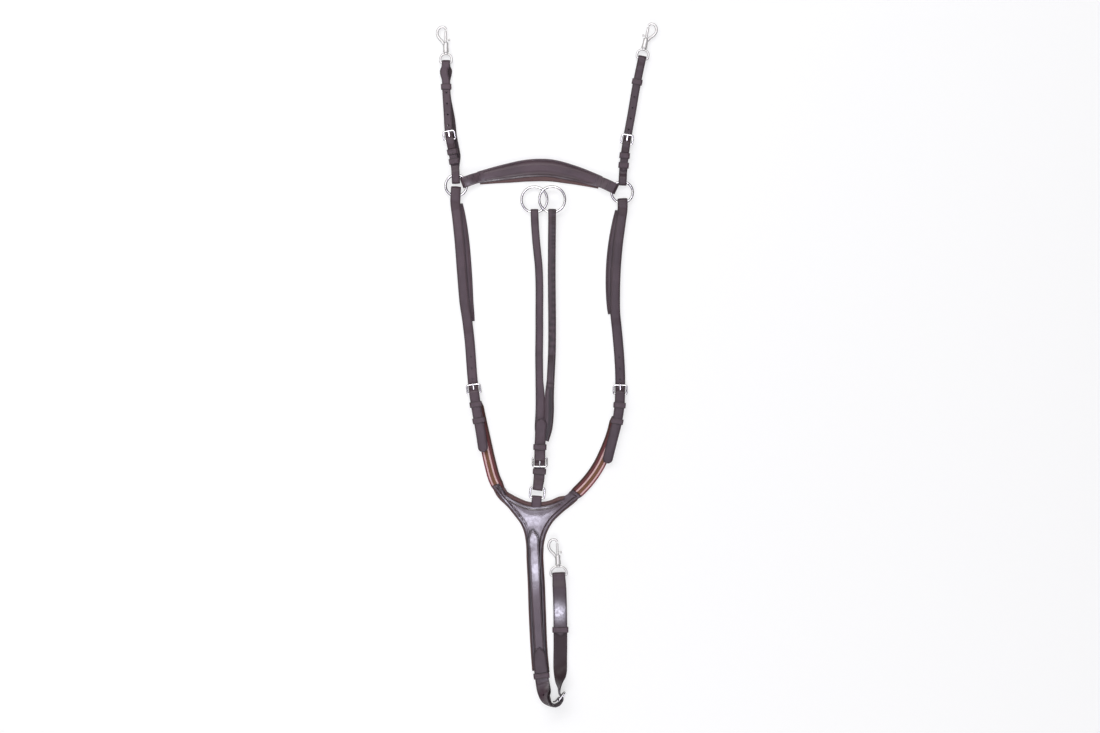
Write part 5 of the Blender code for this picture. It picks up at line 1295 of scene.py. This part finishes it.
def witherPieces():
    points = [(-109.8, 536.4), (-98.0, 540.6), (-73.6, 546.3), (-42.7, 552.2), (-10.0, 557.1), (23.0, 557.4),
              (58.2, 550.2), (87.4, 541.5), (114.9, 531.4), (123.4, 527.2)]
    route = Route(flat(points))
    length, gap, ringHeight = route.length, size["gap"], size["ringHeight"]
    low, t = 3.4, 2.6

    def swell(share):
        return np.sin(math.pi * share) ** 1.3

    share = np.linspace(0.085, 0.915, 120)
    half, drop = (18.0 + 17.0 * swell(share)) / 2, -3.4 * swell(share)
    lining = patchPiece("wither_padding", routeSides(route, length * share, half - drop, -half - drop),
                        paddedEdge(1.2, low, 1.7), underEdge(0.0, 1.2, 1.6), rollLeather, "lining", 16, 90,
                        [0, 0.06, 0.2, 0.4, 0.7, 1.0, 1.4, 1.8, 2.4, 3.6])
    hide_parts("wither_lining")
    share = np.linspace(0.09, 0.91, 120)
    half, side = (17.2 + 11.8 * swell(share)) / 2, -0.6 * swell(share)
    base = low + gap
    middle = inLine(route, length * share, 0)

    def crowned(away, place):
        # a flat stitched margin, then a padded crown: a sine of the distance to the edge, highest over the withers
        near = np.abs(place[:, None, 0] - middle[None, :, 0]).argmin(1)
        rise = (4.0 * swell(share[near]) + 2.6) * 0.92
        reach = np.maximum(half[near] * 0.8 - 2.6, 1.0)
        bulge = (rise - 2.3) * np.sin(0.5 * math.pi * clamp((away - 2.6) / reach)) ** 0.9
        rim = 2.2 * (1 - (1 - clamp(away / 1.3)) ** 2) ** 0.5
        lower = smooth((middle[near, 1] - 0.6 * swell(share[near]) - place[:, 1]) / 3.0)
        dip = 1.2 * clamp(1 - (away - 0.3) / 3.1) * lower * clamp(away / 0.3)
        groove = 0.35 * bell(away, 3.4, 0.4)
        return base + rim - dip + np.maximum(bulge, 0) * clamp((away - 3.0) / 1.0) - groove

    # its edge attribute is painted shade in the gap over the lining at the very edge and along the stitched groove
    # 3.5 mm in
    face = patchPiece("wither_leather", routeSides(route, length * share, half + side, -half + side), crowned,
                      underEdge(base, 0.3, 0.8), strapLeather, columns=26, rows=120,
                      edge=lambda away: np.maximum(clamp(1.1 - away * 2.4), 0.8 * bell(away, 3.5, 0.4)))
    ends = []
    for hand, sEnd, heading in (("left", 0.0, -1), ("right", length, 1)):
        w = 17.2
        radius = size["witherRing"][1] + gap + 1.3
        away = math.dist(route.points(sEnd)[0][:2], witherRings[hand])
        sFold = sEnd + heading * (away - ringFold("witherRing", w, 0.4))
        inner = sEnd - heading * 0.1 * length
        first = -90 if heading > 0 else 270
        runs = [ease((inner - heading * 4, base + 1.5, w, t), (sFold - heading, ringHeight - radius, w, t), 1.5),
                fold(sFold, ringHeight, radius, first, 90, w, t),
                ease((sFold - heading * 5, ringHeight + radius, w, t),
                     (inner - heading * 5, base + 3.0, w, 2.0), 1.5)]
        ends.append(strapPiece(f"wither_end_{hand}", route, gathered(*runs), strapLeather, "breastplate"))
    carve(face, ends, "UNION")
    burnish(face, [(-86, 532, 18, 5, 1.0), (-55, 536, 30, 5, 1.0), (-10, 541, 30, 5, 1.0), (30, 540, 22, 4, 0.6),
                   (80, 530, 28, 4, 0.3)])
    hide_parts("wither_face")
    return route, length * share, half, side


def shoulderPad(hand):
    route, sPad, sPadEnd = shoulders[hand]
    inward = 1 if hand == "left" else -1
    t = np.linspace(0, 1, 100)
    swell = np.sin(math.pi * clamp((t + 0.06) / 1.12)) ** 0.4
    half, shift = (15.0 + 9.0 * swell) / 2, -inward * 4.0 * swell
    s = sPad + (sPadEnd - sPad) * t
    pad = patchPiece(f"shoulder_padding_{hand}", routeSides(route, s, half + shift, shift - half),
                     paddedEdge(1.3, size["pad"] - 0.2, 1.9, 0.2, 5.0, 0.35, 3.2), underEdge(0.0, 1.2, 1.4),
                     strapOf[hand], "lining", 20, 90)
    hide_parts(f"shoulder_pad_{hand}")
    return s, half, shift


elasticPoints = {
    "left": [(-94.0, 191), (-87.3, 158), (-80.0, 124), (-71.2, 84), (-65.0, 62), (-54.0, 40)],
    "right": [(131.4, 167), (123.0, 132), (111.6, 102.4), (101.4, 81.4), (87.8, 61.3), (72.2, 44), (57.6, 30.8)]}


def elasticPiece(hand):
    # woven elastic: rounded selvedges and a shallow rib along every lane
    route = Route(flat(elasticPoints[hand]))
    thick, w = 1.8, 20.0
    n = 2 * size["gap"] + 1.5 + thick / 2
    end = route.length
    st = gathered([(7.0, n, 14.0, thick)], ease((16, n, w * 0.92, thick), (end - 14, n, w, thick), 1.2),
                  [(end - 6, n, w * 0.86, thick), (end, n, w * 0.72, thick)])
    centres, (_, _, normal, across) = route.points(st[:, 0], st[:, 1]), route.frames(st[:, 0])
    share = np.concatenate([[0, 0.008, 0.03, 0.06], np.linspace(0.09, 0.91, 42), [0.94, 0.97, 0.992, 1]])
    lift = np.minimum(1, (1 - np.abs(2 * share - 1) ** 26)) ** 0.5
    top = (thick / 2) * lift + 0.05 * np.cos(share * 2 * math.pi * 14) * lift
    xs = np.concatenate([share, share[::-1][1:-1]]) - 0.5
    zs = np.concatenate([top, -(thick / 2) * lift[::-1][1:-1]])
    vertices, faces = skin(centres[:, None] + across[:, None] * (xs[None] * st[:, 2:3])[..., None]
                           + normal[:, None] * zs[None, :, None])
    outer = 0.5 - xs if hand == "left" else 0.5 + xs
    run = lengths(centres)
    uv = np.stack([np.repeat(run, len(xs)), np.tile(outer, len(run))], -1)
    uv = np.concatenate([uv, [[run[0], 0.5], [run[-1], 0.5]]])
    piece = makePiece(f"elastic_band_{hand}", vertices, faces, elasticWeb, "breastplate", "webbing", uv)
    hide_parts(f"elastic_{hand}")


chestPieces()
print("chest made")
witherShape = witherPieces()
padShapes = {hand: shoulderPad(hand) for hand in hands}
for hand in hands:
    elasticPiece(hand)
print("soft pieces made")
# seams: every stitch is a short thread that lies along its row and dips in at both ends
seam = {"pitch": 3.3, "long": 2.3, "thick": 0.36, "proud": 0.16}


def topHeights(piece, places, reach=1.6):
    # the height of a piece's upper face at places, from the nearest vertex of its top layer
    up = readPoints(piece.data)[readPoints(piece.data, "normal")[:, 2] > 0.45] * inMillimetres
    low, high = places.min(0) - 4, places.max(0) + 4
    up = up[((up[:, :2] > low) & (up[:, :2] < high)).all(1)]
    apart = ((places[:, None] - up[None, :, :2]) ** 2).sum(-1)
    top = np.where(apart < reach**2, up[None, :, 2], -99).max(1)
    apart += np.where(up[None, :, 2] < top[:, None] - 1.0, 1e3, 0)
    return up[apart.argmin(1), 2]


def stitchRow(name, piece, path, sides=6):
    # stitches at even steps along a line in the plane, set into the upper face of a piece
    run = lengths(path)
    count = max(1, int(run[-1] / seam["pitch"]))
    at = (np.arange(count) + 0.5) * run[-1] / count
    middle, ahead, behind = (pointsAt(path, run, at + shift) for shift in (0, 0.4, -0.4))
    along = unit(ahead - behind)
    share = np.array([-0.5, -0.42, -0.2, 0.0, 0.2, 0.42, 0.5])
    radius = seam["thick"] * np.array([0.12, 0.62, 0.95, 1.0, 0.95, 0.62, 0.12])
    rise = np.array([-0.42, -0.22, 0.0, 0.06, 0.0, -0.22, -0.42])
    a = np.arange(sides) * 2 * math.pi / sides
    aside = np.stack([-along[:, 1], along[:, 0]], 1)
    centre = middle[:, None] + along[:, None] * (share * seam["long"])[None, :, None]
    level = centre[:, :, None] + aside[:, None, None] * (radius[:, None] * np.cos(a))[None, :, :, None]
    z = (topHeights(piece, middle) + seam["proud"])[:, None, None] + rise[None, :, None]
    z = z + (radius[:, None] * np.sin(a))[None]
    vertices = np.concatenate([level, z[..., None]], -1).reshape(-1, 3)
    rings = len(share)
    one = gridFaces(rings, sides, closedColumns=True)
    first = np.arange(count)[:, None, None] * rings * sides
    caps = np.stack([np.arange(sides)[::-1], np.arange(sides) + (rings - 1) * sides])
    faces = [(one[None] + first).reshape(-1, 4), (caps[None] + first).reshape(-1, sides)]
    makePiece(name, vertices, faces, stitchThread, "breastplate", "leather")


def paintShadowNear(piece, outline, at, wide, amount):
    # paints shadow in a band outside an outline: raises the attribute edge there and lowers the gloss
    mesh = piece.data
    share = amount * bell(edgeDistance(readPoints(mesh)[:, :2] * inMillimetres, outline), at, wide)
    now = np.empty(len(mesh.vertices), np.float32)
    mesh.attributes["edge"].data.foreach_get("value", now)
    setLayer(mesh, "edge", np.maximum(now, share))
    mesh.attributes["gloss"].data.foreach_get("value", now)
    setLayer(mesh, "gloss", now * (1 - share))


pieces = bpy.data.objects
inner = chestSides(leatherArm, ([(56.6, 19.8), (71.6, 35.0)], leatherNeck), 6.8, 4.4)
chestLeather = pieces["chest_leather"]
for label, path in (("chest_left", inner[2][4:]), ("chest_right", inner[3][4:]), ("neckline", inner[0][3:-3])):
    stitchRow("seam_" + label, chestLeather, path)

steps = np.linspace(13, girthRoute.near(9.2, -236) - 4, 60)
leftRim, leftSeam, rightSeam, rightRim = (inLine(girthRoute, steps, side) for side in (-8.0, -5.9, 5.9, 8.0))
rimTip = inLine(girthRoute, [6.0, 2.0, -0.2, 2.0, 6.0], [-6.0, -2.6, 0.0, 2.6, 6.0])
seamTip = inLine(girthRoute, [10.0, 6.4, 4.2, 6.4, 10.0], [-4.4, -2.2, 0.0, 2.2, 4.4])
# painted shadow of the raised girth overlay on the chest, round its outline
paintShadowNear(chestLeather, np.concatenate([leftRim[::-1], rimTip, rightRim]), 1.0, 1.5, 1.0)
stitchRow("seam_overlay", pieces["girth_overlay_leather"], np.concatenate([leftSeam[::-1], seamTip, rightSeam]))

route, s, half, side = witherShape
witherLeather = pieces["wither_leather"]
for label, hand in (("low", 1), ("high", -1)):
    stitchRow(f"seam_wither_{label}", witherLeather, inLine(route, s, hand * (half - 3.5) + side)[4:-4])
for hand, share in zip(hands, (0.075, 0.925)):
    stitchRow(f"seam_wither_{hand}", witherLeather,
              inLine(route, [route.length * share] * 7, np.linspace(-5.2, 5.2, 7)))

for hand, inward in zip(hands, (-1, 1)):
    route = shoulders[hand][0]
    s, half, shift = padShapes[hand]
    stitchRow(f"seam_pad_{hand}", pieces[f"shoulder_padding_{hand}"],
              inLine(route, s, inward * (half - 3.2) + shift)[3:-3])
    for side in (-5.4, 5.4):
        label = "in" if side * inward > 0 else "out"
        stitchRow(f"seam_shoulder_{hand}_{label}", pieces[f"shoulder_strap_{hand}_leather"],
                  inLine(route, s[4:-4], side))
print("seams made")


looks = {nickelPlate: ("ring", "buckle", "prong", "dee", "snap_", "bolt"),
         liningLeather: ("lining", "padding", "pad_"), elasticWeb: ("elastic_left", "elastic_right")}
for name, node in nodes.items():
    look = strapLeather
    for found, words in looks.items():
        if any(word in name for word in words):
            look = found
    for place in node.material_slots:
        place.material = look


def stageMaterial():
    # white to the camera and in reflections, with a part that takes light and keeps the shadow
    material, tree, shader = newMaterial("floorPaper")
    for socket, value in (("Base Color", (0.9, 0.9, 0.9, 1)), ("Roughness", 0.9), ("Specular IOR Level", 0.1)):
        feed(shader, socket, value)
    path = addNode(tree, "LightPath")
    seen = mathNode(tree, "MAXIMUM", (path, "Is Camera Ray"), (path, "Is Glossy Ray"))
    shown = mathNode(tree, "MAXIMUM", seen, (path, "Is Transmission Ray"))
    paper = addNode(tree, "Emission", Strength=1.12, Color=(1, 1, 1, 1))
    both = addNode(tree, "MixShader", Fac=mathNode(tree, "MULTIPLY", shown, 0.55))
    feed(both, 1, (shader, "BSDF"))
    feed(both, 2, (paper, "Emission"))
    feed(tree.nodes["Material Output"], "Surface", (both, "Shader"))
    return material


def stagePieces():
    far, top, bottom = 40000, -0.4, -8
    vertices, faces = skin(np.array([[(-far, y, top), (far, y, top), (far, y, bottom), (-far, y, bottom)]
                                     for y in (-far, far)], float))
    mesh = bpy.data.meshes.new("floor")
    fillMesh(mesh, vertices, faces)
    mesh.materials.append(stageMaterial())
    addObject("floor", mesh)


def softLight(name, place, target, wide, tall, power):
    light = bpy.data.lights.new(name, "AREA")
    light.shape = "RECTANGLE"
    light.size, light.size_y, light.energy = wide, tall, power
    lamp = addObject(name, light)
    lamp.location = place
    lamp.rotation_euler = (Vector(target) - Vector(place)).to_track_quat("-Z", "Y").to_euler()


def worldSky():
    # a pale foot of the wall all round, a dim wall, a paler ceiling and one soft box straight above
    world = bpy.data.worlds.new("studio")
    bpy.context.scene.world = world
    world.use_nodes = True
    tree = world.node_tree
    parts = addNode(tree, "SeparateXYZ", Vector=(addNode(tree, "TexCoord"), "Generated"))
    ceiling = rampNode(tree, (parts, "Z"), [(place, grey(value)) for place, value in (
        (0.0, 0.82), (0.19, 0.82), (0.3, 0.08), (0.56, 0.09), (0.78, 0.62), (0.93, 0.4), (1.0, 0.34))])
    # the box hangs towards the girth end
    box = spread(tree, (parts, "Z"), 0.0, 6.2, 0.955, 0.985, "SMOOTHSTEP")
    near = spread(tree, (parts, "Y"), 1.0, 0.0, -0.03, 0.07, "SMOOTHSTEP")
    tinted = mixNode(tree, "MULTIPLY", 1.0, mathNode(tree, "MULTIPLY", box, near), (0.94, 0.91, 1.1, 1))
    # the left and right walls stay dark
    walls = spread(tree, mathNode(tree, "ABSOLUTE", (parts, "X")), 1.0, 0.14, 0.14, 0.4, "SMOOTHSTEP")
    dimmed = mixNode(tree, "MULTIPLY", 1.0, mixNode(tree, "ADD", 1.0, ceiling, tinted), walls)
    feed(tree.nodes["Background"], "Color", dimmed)


def lightsAndWorld():
    worldSky()
    softLight("leftWindow", (-1.5, 0.9, 1.7), (0.0, 0.25, 0), 1.4, 1.4, 12.5)
    softLight("topStrip", (-0.2, 1.9, 2.0), (0.0, 0.25, 0), 2.4, 1.0, 29)
    softLight("frontStrip", (-0.2, -1.75, 1.9), (0.0, 0.3, 0), 2.2, 0.6, 25)
    bpy.context.scene.view_settings.view_transform = "Standard"


def photoCamera():
    camera = bpy.data.cameras.new("photoCamera")
    camera.sensor_fit = "HORIZONTAL"
    camera.sensor_width = 36.0
    camera.lens = camera.sensor_width * view["height"] / (view["wide"] * inMetres)
    camera.clip_end = 50.0
    seen = addObject("photoCamera", camera)
    seen.location = (*(c * inMetres for c in view["centre"]), view["height"])
    bpy.context.scene.camera = seen


stagePieces()
lightsAndWorld()
photoCamera()
print("stage made")
